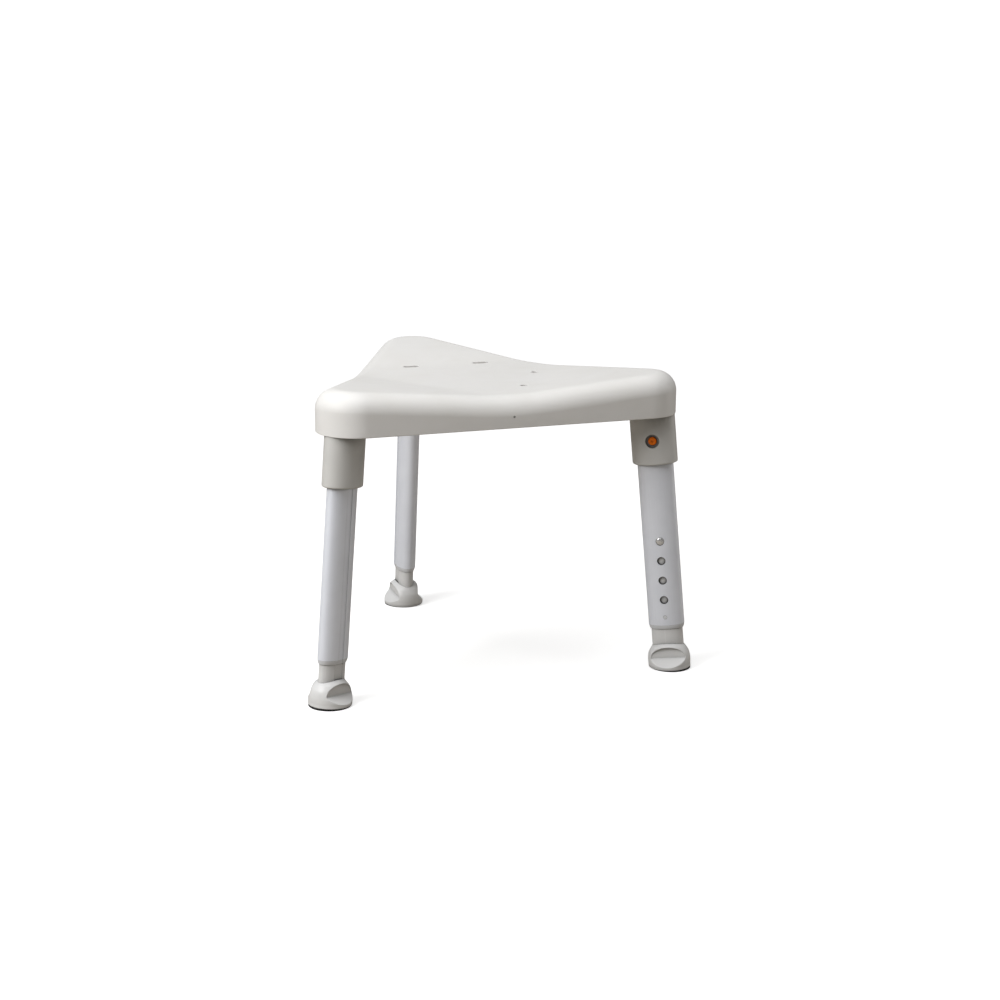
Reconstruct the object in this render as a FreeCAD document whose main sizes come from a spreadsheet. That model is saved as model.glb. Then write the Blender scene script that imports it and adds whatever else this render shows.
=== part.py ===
"""Three-legged shower stool: a hollow dished seat on three push-button, height-adjustable legs.

Origin on the floor under the middle of the seat. +Z is up and +Y points to the back leg.
Each leg is drawn in its own frame: z runs up the leg, x points away from the seat's axis and
y runs around the seat. The sockets are drawn in the radial frame, which only turns about Z.
"""

import FreeCAD, Part
import Sketcher
import math
import os
import re

from FreeCAD import Placement, Rotation, Vector

LEGS = {"left": 210.0, "right": 330.0, "back": 90.0}

SIZES = {
    # seat
    "seat_height": (430, "floor to the top of the seat's corners"),
    "seat_corner_circle": (238, "seat axis to the centre of each rounded corner"),
    "seat_corner_radius": (55, "radius of the seat's corners in plan"),
    "skirt_height": (59, "lower edge of the skirt to the top of the seat's corners"),
    "seat_wall": (4, "wall of the seat moulding"),
    "seat_edge_radius": (27, "rounding of the seat's upper edge"),
    "seat_corner_rise": (16.2, "how far the corners stand above the middle of each side"),
    "seat_crease_reach": (97.8, "seat axis to the line where a corner starts to rise"),
    "seat_crease_blend": (7, "softness of that line"),
    "seat_dish_depth": (2, "depth of the dish in the middle of the seat"),
    "seat_rib_thickness": (3, "thickness of the ribs under the seat"),
    "seat_rib_recess": (11, "skirt's lower edge up to the ribs' lower edge"),
    "seat_hub_radius": (34, "radius of the round rib in the middle"),
    # openings in the seat
    "drain_spacing": (107, "distance between the two openings of a pair"),
    "slot_reach": (99, "seat axis to the pair of slots, towards the back leg"),
    "slot_length": (24, "length of a slot"),
    "slot_width": (8, "width of a slot"),
    "hole_reach": (85.5, "seat axis to the pair of round holes, towards the right leg"),
    "hole_diameter": (9.5, "diameter of a round hole"),
    "gate_diameter": (3.2, "moulding gate dimple in the middle of the front skirt"),
    "gate_depth": (1, "depth of the gate dimple"),
    "gate_rise": (16, "skirt's lower edge up to the gate dimple"),
    # fixing of the sockets under the seat
    "flange_margin": (5, "flange's edge to the seat's wall"),
    "flange_thickness": (4, "thickness of the flange"),
    "flange_recess": (6, "skirt's lower edge up to the flange"),
    "outer_screw_margin": (10.1, "flange's edge to the middle of an outer screw"),
    "outer_screw_angle": (77.13, "outward direction to an outer screw, degrees"),
    "inner_screw_margin": (12, "flange's edge to the middle of the inner screw"),
    "screw_shank": (3, "shank diameter"),
    "screw_head": (7, "head diameter"),
    "screw_head_height": (2.4, "height of the head"),
    "screw_length": (16, "shank length"),
    "boss_radius": (5, "radius of a screw boss"),
    "screw_clearance": (0.2, "shank to the wall of its hole, across the diameter"),
    # leg geometry
    "leg_splay": (5.37, "lean of each leg, degrees"),
    "neck_gap": (0.975, "socket's neck to the seat's wall, level with the skirt's edge"),
    "leg_gap": (0.3, "gap between pieces that slide over each other"),
    "fit_gap": (0.1, "gap between pieces that are pushed together"),
    # socket
    "collar_wall_outwards": (6.2, "wall of the collar, away from the seat's axis"),
    "collar_wall_sideways": (8.15, "wall of the collar, around the seat"),
    "collar_length": (71.94, "collar's lower rim up to the skirt's edge, along the leg"),
    "socket_rim_radius": (2.5, "rounding of the collar's lower rim"),
    "socket_neck_wall": (2.6, "wall of the part of the socket that is inside the seat"),
    "socket_roof": (4, "closed end above the tube"),
    # outer tube
    "tube_half_depth": (25.5, "half of the oval tube, away from the seat's axis"),
    "tube_half_width": (15.55, "half of the oval tube, around the seat"),
    "tube_wall": (1.5, "wall of the tube"),
    "tube_bottom": (65, "floor to the tube's lower end, along the leg"),
    "tube_rise": (11.36, "skirt's edge up to the tube's upper end, along the leg"),
    "channel_width": (10, "width of the long channel"),
    "channel_depth": (1.4, "depth of the long channel"),
    # height setting
    "height_hole": (12, "diameter of the height holes"),
    "height_pitch": (28.7, "distance between two height holes"),
    "height_count": (4, "number of height holes in a tube"),
    "snap_level": (189, "floor to the snap button at the lowest setting, along the leg"),
    "snap_gap": (0.4, "snap button to the edge of its hole"),
    "snap_proud": (1.1, "how far the snap button stands out of the tube"),
    "snap_flange": (1.4, "how far its flange reaches past the button"),
    "snap_flange_thickness": (1.2, "thickness of its flange"),
    # release button
    "release_rise": (34.7, "collar's lower rim up to the release button, along the leg"),
    "release_diameter": (12, "diameter of the release button"),
    "release_bore": (12.5, "bore that the release button locks into"),
    "release_recess": (19.5, "diameter of the finger recess around it"),
    "release_recess_depth": (5, "depth of the finger recess"),
    "release_sunk": (2.6, "button's end below the collar's surface"),
    "release_flange": (1.4, "how far its flange reaches past the button"),
    "release_flange_thickness": (1.8, "thickness of its flange"),
    "release_softening": (0.5, "softening of its end"),
    # springs
    "spring_thickness": (0.8, "thickness of the leaf springs"),
    "spring_width": (9, "width of the leaf springs"),
    "spring_arm_end": (1.12, "slanting arm of a leaf spring, measured level at its end"),
    "spring_drop": (24, "button down to the bend of its leaf spring"),
    "spring_tail": (6, "how far the spring's ends reach past the button"),
    # cap in the top of the tube
    "cap_lip": (2, "thickness of the cap outside the tube"),
    "cap_plug": (20, "length of the cap inside the tube"),
    "cap_wall": (2, "wall of the plug"),
    # guide bush
    "bush_lip": (6, "length of the bush below the tube"),
    "bush_taper": (1.3, "how much the lip narrows"),
    "bush_sleeve": (23, "length of the bush inside the tube"),
    "bush_wall_outwards": (1.15, "wall of the bush, away from the seat's axis"),
    "bush_wall_sideways": (0.9, "wall of the bush, around the seat"),
    "peg_level": (77.5, "floor to the peg that holds the bush, along the leg"),
    "peg_diameter": (5.6, "diameter of that peg"),
    # inner leg
    "inner_wall": (2.6, "wall of the inner leg"),
    "inner_bottom": (13.7, "floor to the inner leg's lower end, along the leg"),
    "inner_top": (232, "floor to the inner leg's upper end, along the leg"),
    # foot
    "foot_base": (4, "floor to the foot's flat underside, along the leg"),
    "foot_radius": (29.9, "radius of the foot's underside"),
    "foot_bulge": (0.5, "how far the foot bulges past its underside"),
    "foot_height": (38, "floor to the foot's upper rim, along the leg"),
    "foot_rim": (1.3, "wall of the foot around the inner leg at its upper rim"),
    "foot_floor": (13.5, "floor to the bottom of the foot's socket, along the leg"),
    "scoop_level": (24.5, "floor to the middle of the thumb scoop, along the leg"),
    "scoop_half_length": (24, "half length of the thumb scoop"),
    "scoop_half_height": (10.5, "half height of the thumb scoop"),
    "scoop_half_width": (12.5, "half width of the thumb scoop, into the foot"),
    "scoop_wall": (1.7, "wall left behind the scoop"),
    # sole
    "sole_margin": (0.4, "sole inside the foot's edge"),
    "sole_plug_radius": (22.5, "radius of the sole's plug"),
    "sole_plug_height": (5, "height of the sole's plug"),
    "tread_radius": (16, "radius of the tread groove"),
    "tread_width": (2.4, "width of the tread groove"),
    "tread_depth": (0.6, "depth of the tread groove"),
}

# Sizes that follow from the others.
DERIVED = {
    "seat_skirt_level": "seat_height - skirt_height",
    "skirt_along_leg": "seat_skirt_level / cos(leg_splay)",
    "neck_half_depth": "tube_half_depth + leg_gap + socket_neck_wall",
    "leg_outset": "seat_corner_radius - seat_wall - neck_gap - neck_half_depth",
    "foot_circle": "seat_corner_circle + leg_outset + seat_skirt_level * tan(leg_splay)",
    "flange_radius": "seat_corner_radius - seat_wall - flange_margin",
    "outer_screw_reach": "flange_radius - outer_screw_margin",
    "inner_screw_reach": "flange_radius - inner_screw_margin",
    "socket_half_depth": "tube_half_depth + leg_gap + collar_wall_outwards",
    "socket_half_width": "tube_half_width + leg_gap + collar_wall_sideways",
    "socket_bottom": "skirt_along_leg - collar_length",
    "tube_top": "skirt_along_leg + tube_rise",
    "release_level": "socket_bottom + release_rise",
    "inner_half_depth": "tube_half_depth - tube_wall - fit_gap - bush_wall_outwards - leg_gap",
    "inner_half_width": "tube_half_width - tube_wall - fit_gap - bush_wall_sideways - leg_gap",
}

doc = FreeCAD.newDocument("ShowerStool")
sheet = doc.addObject("Spreadsheet::Sheet", "Sizes")
for row, (alias, (value, note)) in enumerate(SIZES.items(), start=1):
    sheet.set(f"A{row}", alias)
    sheet.set(f"B{row}", str(value))
    sheet.setAlias(f"B{row}", alias)
    sheet.set(f"C{row}", note)
doc.recompute()

sub_parts = []


def bound(text):
    """An expression in which each name of a size is read from the sheet."""

    def in_sheet(match):
        word = match.group()
        if word in DERIVED:
            return f"({bound(DERIVED[word])})"
        return f"Sizes.{word}" if word in SIZES else word

    return re.sub(r"[a-z_]+", in_sheet, text)


def number(expression):
    """The value of an expression now."""
    value = sheet.evalExpression(bound(str(expression)))
    return float(getattr(value, "Value", value))


def size(name):
    return number(name)


def bind(thing, **expressions):
    """Tie properties of an object to the sheet. x, y and z stand for its position."""
    for name, expression in expressions.items():
        target = f".Placement.Base.{name}" if name in ("x", "y", "z") else name
        thing.setExpression(target, bound(str(expression)))
    return thing


def sub_part(thing, label, placement=None):
    """Give a finished piece the name of its file and its place."""
    thing.Label = label
    if placement is not None:
        thing.Placement = placement
    sub_parts.append(thing)
    return thing


# ---------------------------------------------------------------- building blocks


def box(name, x, y, z, length, width, height, turn=0):
    """A box from its lowest corner, turned about z at that corner."""
    thing = doc.addObject("Part::Box", name)
    thing.Placement = Placement(Vector(), Rotation(Vector(0, 0, 1), turn))
    return bind(thing, x=x, y=y, z=z, Length=length, Width=width, Height=height)


def post(name, radius, z, height, x="0", y="0"):
    """An upright cylinder."""
    thing = doc.addObject("Part::Cylinder", name)
    return bind(thing, Radius=radius, Height=height, x=x, y=y, z=z)


def cross_bore(name, diameter, y_outer, length, z):
    """A cylinder that enters from the -y side and runs along +y."""
    thing = doc.addObject("Part::Cylinder", name)
    thing.Placement = Placement(Vector(), Rotation(Vector(1, 0, 0), -90))
    return bind(thing, Radius=f"({diameter}) / 2", Height=length, y=f"-({y_outer})", z=z)


def oval(name, half_depth, half_width, z):
    thing = doc.addObject("Part::Ellipse", name)
    return bind(thing, MajorRadius=half_depth, MinorRadius=half_width, z=z)


def oval_post(name, half_depth, half_width, z, height):
    """An upright oval post."""
    thing = doc.addObject("Part::Extrusion", name)
    thing.Base = oval(f"{name}_outline", half_depth, half_width, z)
    thing.DirMode = "Custom"
    thing.Dir = Vector(0, 0, 1)
    thing.Solid = True
    return bind(thing, LengthFwd=height)


def loft(name, sections):
    thing = doc.addObject("Part::Loft", name)
    thing.Sections = sections
    thing.Solid = True
    return thing


def joined(name, *things):
    thing = doc.addObject("Part::MultiFuse", name)
    thing.Shapes = list(things)
    return thing


def cut(name, base, *tools):
    thing = doc.addObject("Part::Cut", name)
    thing.Base = base
    thing.Tool = tools[0] if len(tools) == 1 else joined(f"{name}_tools", *tools)
    return thing


def rounded(name, base, radius, wanted):
    """Round the edges of base that wanted() accepts."""
    doc.recompute()
    thing = doc.addObject("Part::Fillet", name)
    thing.Base = base
    edges = [n for n, edge in enumerate(base.Shape.Edges, start=1) if wanted(edge)]
    thing.Edges = [(edge, radius, radius) for edge in edges]
    return thing


def origin_plane(body, role):
    return next(f for f in body.Origin.OriginFeatures if f.Role == role)


def new_sketch(body, name, plane):
    sketch = body.newObject("Sketcher::SketchObject", name)
    sketch.AttachmentSupport = [(origin_plane(body, plane), "")]
    sketch.MapMode = "FlatFace"
    return sketch


def place_point(sketch, curve, point, x, y):
    """Hold one point of a sketch's curve at x, y from the sketch's origin."""
    for kind, expression in (("DistanceX", x), ("DistanceY", y)):
        datum = Sketcher.Constraint(kind, -1, 1, curve, point, number(expression))
        index = sketch.addConstraint(datum)
        sketch.setExpression(f"Constraints[{index}]", bound(expression))


def polygon_sketch(body, name, plane, corners):
    """A closed outline of straight lines. Each corner is a pair of expressions."""
    sketch = new_sketch(body, name, plane)
    spots = [Vector(number(x), number(y), 0) for x, y in corners]
    for start, end in zip(spots, spots[1:] + spots[:1]):
        sketch.addGeometry(Part.LineSegment(start, end), False)
    for line in range(len(corners)):
        following = (line + 1) % len(corners)
        sketch.addConstraint(Sketcher.Constraint("Coincident", line, 2, following, 1))
    for line, (x, y) in enumerate(corners):
        place_point(sketch, line, 1, x, y)
    return sketch


def turned(name, corners):
    """A body turned about its z axis from a half outline of (radius, height) pairs."""
    body = doc.addObject("PartDesign::Body", name)
    sketch = polygon_sketch(body, f"{name}_outline", "XZ_Plane", corners)
    turn = body.newObject("PartDesign::Revolution", f"{name}_turn")
    turn.Profile = sketch
    turn.ReferenceAxis = (sketch, ["V_Axis"])
    turn.Angle = 360
    return body


def around(angle, x, y):
    """Where a point of the radial frame at this angle lies, as a pair of expressions."""
    return (
        f"({x}) * cos({angle}) - ({y}) * sin({angle})",
        f"({x}) * sin({angle}) + ({y}) * cos({angle})",
    )


def radial_frame(angle):
    return Placement(Vector(), Rotation(Vector(0, 0, 1), angle))


def leg_tilt():
    """The leg frame in the radial frame: on the foot circle, leaning in at the top."""
    return Placement(
        Vector(size("foot_circle"), 0, 0), Rotation(Vector(0, 1, 0), -size("leg_splay"))
    )


def leg_frame(angle):
    return radial_frame(angle).multiply(leg_tilt())


def facing_out(angle, level):
    """A frame on the leg's axis at level, whose z axis points out of the leg's -y side."""
    up_the_leg = Placement(Vector(0, 0, size(level)), Rotation(Vector(1, 0, 0), 90))
    return leg_frame(angle).multiply(up_the_leg)


# ---------------------------------------------------------------- seat

HALF_SIDE = "(seat_corner_circle / 2 + seat_corner_radius)"
FLANGE_LEVEL = "seat_skirt_level + flange_recess"
OUTER_SCREW = (
    "seat_corner_circle + outer_screw_reach * cos(outer_screw_angle)",
    "outer_screw_reach * sin(outer_screw_angle)",
)
SCREWS = (
    OUTER_SCREW,
    (OUTER_SCREW[0], f"-{OUTER_SCREW[1]}"),
    ("seat_corner_circle - inner_screw_reach", "0"),
)


def crown_height(x, y):
    """Height of the seat's upper surface above the floor."""
    reach = number("seat_corner_circle + seat_corner_radius - seat_edge_radius")
    half_side = number(HALF_SIDE)
    crease = size("seat_crease_reach")
    blend = size("seat_crease_blend")
    slope = size("seat_corner_rise") / (reach - crease)
    height = size("seat_height") - size("seat_corner_rise")
    for angle in LEGS.values():
        towards = x * math.cos(math.radians(angle)) + y * math.sin(math.radians(angle))
        height += slope * blend * math.log1p(math.exp((towards - crease) / blend))
    share = min(1.0, (x * x + y * y) / half_side**2)
    return height - size("seat_dish_depth") * (1 - share) ** 1.5


def space_over_crown(name, sunk):
    """The space above the seat's upper surface, lowered by sunk."""
    past_seat, rows = 1.2, 71
    half = past_seat * number("seat_corner_circle + seat_corner_radius")
    ticks = [half * (2 * n / (rows - 1) - 1) for n in range(rows)]
    points = [[Vector(x, y, crown_height(x, y) - sunk) for y in ticks] for x in ticks]
    surface = Part.BSplineSurface()
    surface.interpolate(points)
    thing = doc.addObject("Part::Feature", name)
    thing.Shape = surface.toShape().extrude(Vector(0, 0, size("seat_height")))
    return thing


def seat_blank(name, inset):
    """The seat's outline in plan, moved in by inset, as a tall block."""
    body = doc.addObject("PartDesign::Body", name)
    sketch = new_sketch(body, f"{name}_outline", "XY_Plane")
    radius = number(f"seat_corner_radius - {inset}")
    angles = sorted(LEGS.values())
    centres = [radial_frame(a).multVec(Vector(size("seat_corner_circle"), 0, 0)) for a in angles]
    for angle, centre in zip(angles, centres):
        circle = Part.Circle(centre, Vector(0, 0, 1), radius)
        start, end = math.radians(angle - 60), math.radians(angle + 60)
        sketch.addGeometry(Part.ArcOfCircle(circle, start, end), False)
    for n, angle in enumerate(angles):
        outward = radial_frame(angle + 60).multVec(Vector(radius, 0, 0))
        ends = [centres[n] + outward, centres[(n + 1) % 3] + outward]
        sketch.addGeometry(Part.LineSegment(*ends), False)
    for n, angle in enumerate(angles):
        sketch.addConstraint(Sketcher.Constraint("Tangent", n, 2, n + 3, 1))
        sketch.addConstraint(Sketcher.Constraint("Tangent", n + 3, 2, (n + 1) % 3, 1))
        place_point(sketch, n, 3, *around(angle, "seat_corner_circle", "0"))
    index = sketch.addConstraint(Sketcher.Constraint("Radius", 0, radius))
    sketch.setExpression(f"Constraints[{index}]", bound(f"seat_corner_radius - {inset}"))
    pad = body.newObject("PartDesign::Pad", f"{name}_pad")
    pad.Profile = sketch
    bind(pad, Length="1.5 * seat_height")
    return body


def crowned_block(name, inset, sunk, edge_radius):
    """A block with the seat's outline and its crown, with the upper edge rounded."""
    blank = seat_blank(f"{name}_blank", inset)
    square = cut(f"{name}_square", blank, space_over_crown(f"{name}_over", sunk))

    def on_rim(edge):
        ends = [v.Z for v in edge.Vertexes]
        level = abs(ends[0] - ends[-1]) < edge.Length / 2
        return level and edge.BoundBox.ZMin > size("seat_skirt_level")

    return rounded(name, square, edge_radius, on_rim)


def ribs_and_bosses():
    """What stays standing inside the seat: webs, a round rib and the screw bosses."""
    low = "seat_skirt_level + seat_rib_recess"
    tall = "seat_height - seat_skirt_level"
    inner_hub = "seat_hub_radius - seat_rib_thickness"
    hub = post("hub_outside", "seat_hub_radius", low, tall)
    things = [cut("hub_rib", hub, post("hub_inside", inner_hub, low, tall))]
    start = "seat_hub_radius - seat_rib_thickness / 2"
    to_screw = f"{SCREWS[2][0]} - ({start})"
    to_wall = f"{HALF_SIDE} - ({start})"
    boss_level = f"{FLANGE_LEVEL} + flange_thickness + fit_gap"
    for side, angle in LEGS.items():
        for kind, turn, run in (("corner", angle, to_screw), ("side", angle + 60, to_wall)):
            x, y = around(turn, start, "-seat_rib_thickness / 2")
            web = box(f"{side}_{kind}_web", x, y, low, run, "seat_rib_thickness", tall, turn)
            things.append(web)
        for index, spot in enumerate(SCREWS, start=1):
            x, y = around(angle, *spot)
            things.append(post(f"{side}_boss_{index}", "boss_radius", boss_level, tall, x, y))
    return joined("ribs_and_bosses", *things)


def pilot_holes():
    """The holes in the bosses."""
    radius, depth = "(screw_shank + screw_clearance) / 2", "screw_length + screw_clearance"
    tools = []
    for side, angle in LEGS.items():
        for index, spot in enumerate(SCREWS, start=1):
            x, y = around(angle, *spot)
            tools.append(post(f"{side}_pilot_{index}", radius, FLANGE_LEVEL, depth, x, y))
    return tools


def seat_openings():
    """Two slots towards the back leg and two round holes towards the right leg."""
    low, tall = "seat_skirt_level", "seat_height"
    run = "(slot_length - slot_width)"
    tools = []
    for side, sign in (("first", -1), ("second", 1)):
        middle = f"{sign} * drain_spacing / 2"
        x, y = f"{middle} - {run} / 2", "slot_reach - slot_width / 2"
        tools.append(box(f"{side}_slot", x, y, low, run, "slot_width", tall))
        for end in (-1, 1):
            x = f"{middle} + {end} * {run} / 2"
            tools.append(post(f"{side}_slot_end", "slot_width / 2", low, tall, x, "slot_reach"))
        x, y = around(LEGS["right"], "hole_reach", middle)
        tools.append(post(f"{side}_hole", "hole_diameter / 2", low, tall, x, y))
    return tools


def make_seat_shell():
    outer = crowned_block("seat_outer", "0", 0, size("seat_edge_radius"))
    inner_radius = number("seat_edge_radius - seat_wall")
    inner = crowned_block("seat_inner", "seat_wall", size("seat_wall"), inner_radius)
    hollow = cut("seat_hollow", inner, ribs_and_bosses())
    below = post("below_skirt", "seat_corner_circle * 2", "0", "seat_skirt_level")
    depth = "gate_depth"
    dimple = cross_bore("gate", "gate_diameter", HALF_SIDE, depth, "seat_skirt_level + gate_rise")
    shell = cut("seat_moulding", outer, hollow, below)
    seat = cut("seat", shell, *seat_openings(), *pilot_holes(), dimple)
    return sub_part(seat, "seat_shell")


def make_socket_screws():
    """The pan-head screws that hold the sockets, as one group."""
    screws = []
    for side, angle in LEGS.items():
        for index, spot in enumerate(SCREWS, start=1):
            x, y = around(angle, *spot)
            low = f"{FLANGE_LEVEL} - screw_head_height"
            name = f"{side}_screw_{index}"
            head = post(f"{name}_head", "screw_head / 2", low, "screw_head_height", x, y)
            shank = post(f"{name}_shank", "screw_shank / 2", FLANGE_LEVEL, "screw_length", x, y)
            screws.append(joined(name, head, shank))
    group = doc.addObject("Part::Compound", "screws")
    group.Links = screws
    return sub_part(group, "socket_screws")


# ---------------------------------------------------------------- sockets

TUBE_BORE = ("tube_half_depth + leg_gap", "tube_half_width + leg_gap")
TUBE_END = "tube_top + cap_lip + leg_gap"


def make_socket(side, angle):
    """A collar under the seat's corner, with a closed neck and a flange inside the seat."""
    collar_height = "tube_top - socket_bottom"
    halves = ("socket_half_depth", "socket_half_width")
    collar = oval_post(f"{side}_collar", *halves, "socket_bottom", collar_height)
    middle = size("socket_bottom") + number(collar_height) / 2

    def on_rim(edge):
        return edge.BoundBox.ZMax < middle

    collar = rounded(f"{side}_soft_collar", collar, size("socket_rim_radius"), on_rim)
    collar.Placement = leg_tilt()
    reach = "seat_corner_circle * 2"
    above = post(f"{side}_above_skirt", reach, "seat_skirt_level - fit_gap", "seat_height")
    collar = cut(f"{side}_trimmed_collar", collar, above)

    bore_depth, bore_width = TUBE_BORE
    neck_bottom = "socket_bottom + socket_rim_radius"
    neck = oval_post(
        f"{side}_neck",
        f"{bore_depth} + socket_neck_wall",
        f"{bore_width} + socket_neck_wall",
        neck_bottom,
        f"{TUBE_END} + socket_roof - ({neck_bottom})",
    )
    neck.Placement = leg_tilt()
    flange_height = "flange_thickness"
    centre = "seat_corner_circle"
    flange = post(f"{side}_flange", "flange_radius", FLANGE_LEVEL, flange_height, centre)
    solid = joined(f"{side}_socket_solid", collar, neck, flange)

    low = "socket_bottom - socket_rim_radius"
    wide = "socket_half_width + socket_rim_radius"
    inside = joined(
        f"{side}_socket_inside",
        oval_post(f"{side}_socket_bore", bore_depth, bore_width, low, f"{TUBE_END} - ({low})"),
        cross_bore(
            f"{side}_recess",
            "release_recess",
            wide,
            "release_recess_depth + socket_rim_radius",
            "release_level",
        ),
        cross_bore(f"{side}_lock_bore", "release_bore", wide, wide, "release_level"),
    )
    inside.Placement = leg_tilt()
    holes = [
        post(
            f"{side}_flange_hole_{index}",
            "screw_shank / 2 + screw_clearance",
            "seat_skirt_level",
            "flange_recess + 2 * flange_thickness",
            x,
            y,
        )
        for index, (x, y) in enumerate(SCREWS, start=1)
    ]
    socket = cut(f"{side}_socket_cut", solid, inside, *holes)
    return sub_part(socket, f"{side}_socket", radial_frame(angle))


# ---------------------------------------------------------------- outer tube and its fittings

BUMP_HALF = "(channel_width / 2 + tube_wall)"
BUMP_FACE = "(tube_half_width - channel_depth - tube_wall)"


def channel(name, half_width, bottom, z, height):
    """A box that cuts a channel into a leg's +y side."""
    width = f"2 * ({half_width})"
    return box(name, f"-({half_width})", bottom, z, width, "tube_half_width", height)


def make_leg_tube(side, angle):
    """An oval aluminium tube with a long channel, a lock hole and a row of height holes."""
    length = "tube_top - tube_bottom"
    halves = ("tube_half_depth", "tube_half_width")
    outside = oval_post(f"{side}_tube_outside", *halves, "tube_bottom", length)
    halves = ("tube_half_depth - tube_wall", "tube_half_width - tube_wall")
    past_ends = ("tube_bottom - tube_wall", f"{length} + 2 * tube_wall")
    inner_oval = oval_post(f"{side}_tube_inside", *halves, *past_ends)
    bump = channel(f"{side}_bump", BUMP_HALF, BUMP_FACE, *past_ends)
    floor = "tube_half_width - channel_depth"
    groove = channel(f"{side}_groove", "channel_width / 2", floor, "tube_bottom", length)
    depth = "tube_half_width"
    holes = []
    for step in range(int(size("height_count"))):
        level = f"snap_level - {step} * height_pitch"
        name = f"{side}_height_hole_{step}"
        holes.append(cross_bore(name, "height_hole", depth, depth, level))
    holes.append(cross_bore(f"{side}_lock_hole", "release_bore", depth, depth, "release_level"))
    peg_hole = "peg_diameter + 2 * fit_gap"
    holes.append(cross_bore(f"{side}_peg_hole", peg_hole, depth, depth, "peg_level"))
    tube = cut(f"{side}_tube", outside, cut(f"{side}_tube_bore", inner_oval, bump), groove, *holes)
    return sub_part(tube, f"{side}_leg_tube", leg_frame(angle))


def make_tube_cap(side, angle):
    """A plastic cap with a hollow plug, pushed into the top of the tube."""
    halves = ("tube_half_depth - fit_gap", "tube_half_width - fit_gap")
    lip = oval_post(f"{side}_cap_lip", *halves, "tube_top", "cap_lip")
    floor = "tube_half_width - channel_depth"
    notch = channel(f"{side}_cap_notch", "channel_width / 2", floor, "tube_top", "cap_lip")
    inset = "tube_wall + fit_gap"
    plug = oval_post(
        f"{side}_cap_plug",
        f"tube_half_depth - ({inset})",
        f"tube_half_width - ({inset})",
        "tube_top - cap_plug",
        "cap_plug",
    )
    clearance = channel(
        f"{side}_cap_clearance",
        f"{BUMP_HALF} + fit_gap",
        f"{BUMP_FACE} - fit_gap",
        "tube_top - cap_plug",
        "cap_plug",
    )
    inner = f"{inset} + cap_wall"
    hollow = cut(
        f"{side}_cap_hollow",
        oval_post(
            f"{side}_cap_hollow_oval",
            f"tube_half_depth - ({inner})",
            f"tube_half_width - ({inner})",
            "tube_top - cap_plug - cap_wall",
            "cap_plug",
        ),
        channel(
            f"{side}_cap_inner_bump",
            f"{BUMP_HALF} + cap_wall",
            f"{BUMP_FACE} - fit_gap - cap_wall",
            "tube_top - cap_plug - cap_wall",
            "cap_plug",
        ),
    )
    top, stem = cut(f"{side}_cap_top", lip, notch), cut(f"{side}_cap_stem", plug, clearance)
    solid = joined(f"{side}_cap_solid", top, stem)
    return sub_part(cut(f"{side}_cap", solid, hollow), f"{side}_tube_cap", leg_frame(angle))


def make_guide_bush(side, angle):
    """A plastic bush in the tube's lower end, held by a round peg, that the inner leg slides in."""
    lip = loft(
        f"{side}_bush_lip",
        [
            oval(
                f"{side}_lip_end",
                "tube_half_depth - bush_taper",
                "tube_half_width - bush_taper",
                "tube_bottom - bush_lip",
            ),
            oval(f"{side}_lip_start", "tube_half_depth", "tube_half_width", "tube_bottom - fit_gap"),
        ],
    )
    sleeve_half = ("tube_half_depth - tube_wall - fit_gap", "tube_half_width - tube_wall - fit_gap")
    sleeve = oval_post(f"{side}_sleeve", *sleeve_half, "tube_bottom - 2 * fit_gap", "bush_sleeve")
    peg = cross_bore(
        f"{side}_peg", "peg_diameter", "tube_half_width - fit_gap", "tube_half_width / 2", "peg_level"
    )
    low = "tube_bottom - 2 * bush_lip"
    inside = oval_post(
        f"{side}_bush_bore",
        "inner_half_depth + leg_gap",
        "inner_half_width + leg_gap",
        low,
        "bush_sleeve + 3 * bush_lip",
    )
    gap_half, gap_low = f"{BUMP_HALF} + leg_gap", "tube_bottom - fit_gap"
    gap = channel(f"{side}_sleeve_gap", gap_half, "0", gap_low, "2 * bush_sleeve")
    notch = channel(
        f"{side}_bush_notch",
        "channel_width / 2",
        "tube_half_width - channel_depth",
        low,
        "3 * bush_lip",
    )
    bush = cut(f"{side}_bush", joined(f"{side}_bush_solid", lip, sleeve, peg), inside, gap, notch)
    return sub_part(bush, f"{side}_guide_bush", leg_frame(angle))


def stud(name, diameter, flange, flange_face, flange_thickness, end, rounding):
    """A push button that points along z: a round flange and a stem with a softened end."""
    radius = f"({diameter}) / 2"
    back = f"{flange_face} - {flange_thickness}"
    half_softened = f"({rounding}) / 2"
    corners = [
        ("0", back),
        (f"{radius} + {flange}", back),
        (f"{radius} + {flange}", flange_face),
        (radius, flange_face),
        (radius, f"{end} - 2 * {rounding}"),
        (f"{radius} - {rounding}", f"{end} - {half_softened}"),
        (f"{radius} - 2 * {rounding} - {half_softened}", end),
        ("0", end),
    ]
    return turned(name, corners)


def leaf_spring(name, level, button_back, far_wall):
    """A bent strip: one arm presses on the button's back, the other lies on the far wall."""
    top = f"{level} + spring_tail"
    bend = f"{level} - spring_drop"
    spread = f"({far_wall} + {button_back})"
    slant = f"({spread} - spring_arm_end - spring_thickness) / {spread}"
    corners = [
        (f"-({button_back})", top),
        (far_wall, bend),
        (far_wall, top),
        (f"{far_wall} - spring_thickness", top),
        (f"{far_wall} - spring_thickness", f"{top} - (spring_tail + spring_drop) * {slant}"),
        (f"-({button_back}) + spring_arm_end", top),
    ]
    body = doc.addObject("PartDesign::Body", name)
    sketch = polygon_sketch(body, f"{name}_outline", "YZ_Plane", corners)
    pad = body.newObject("PartDesign::Pad", f"{name}_pad")
    pad.Profile = sketch
    pad.Midplane = True
    bind(pad, Length="spring_width")
    return body


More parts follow.
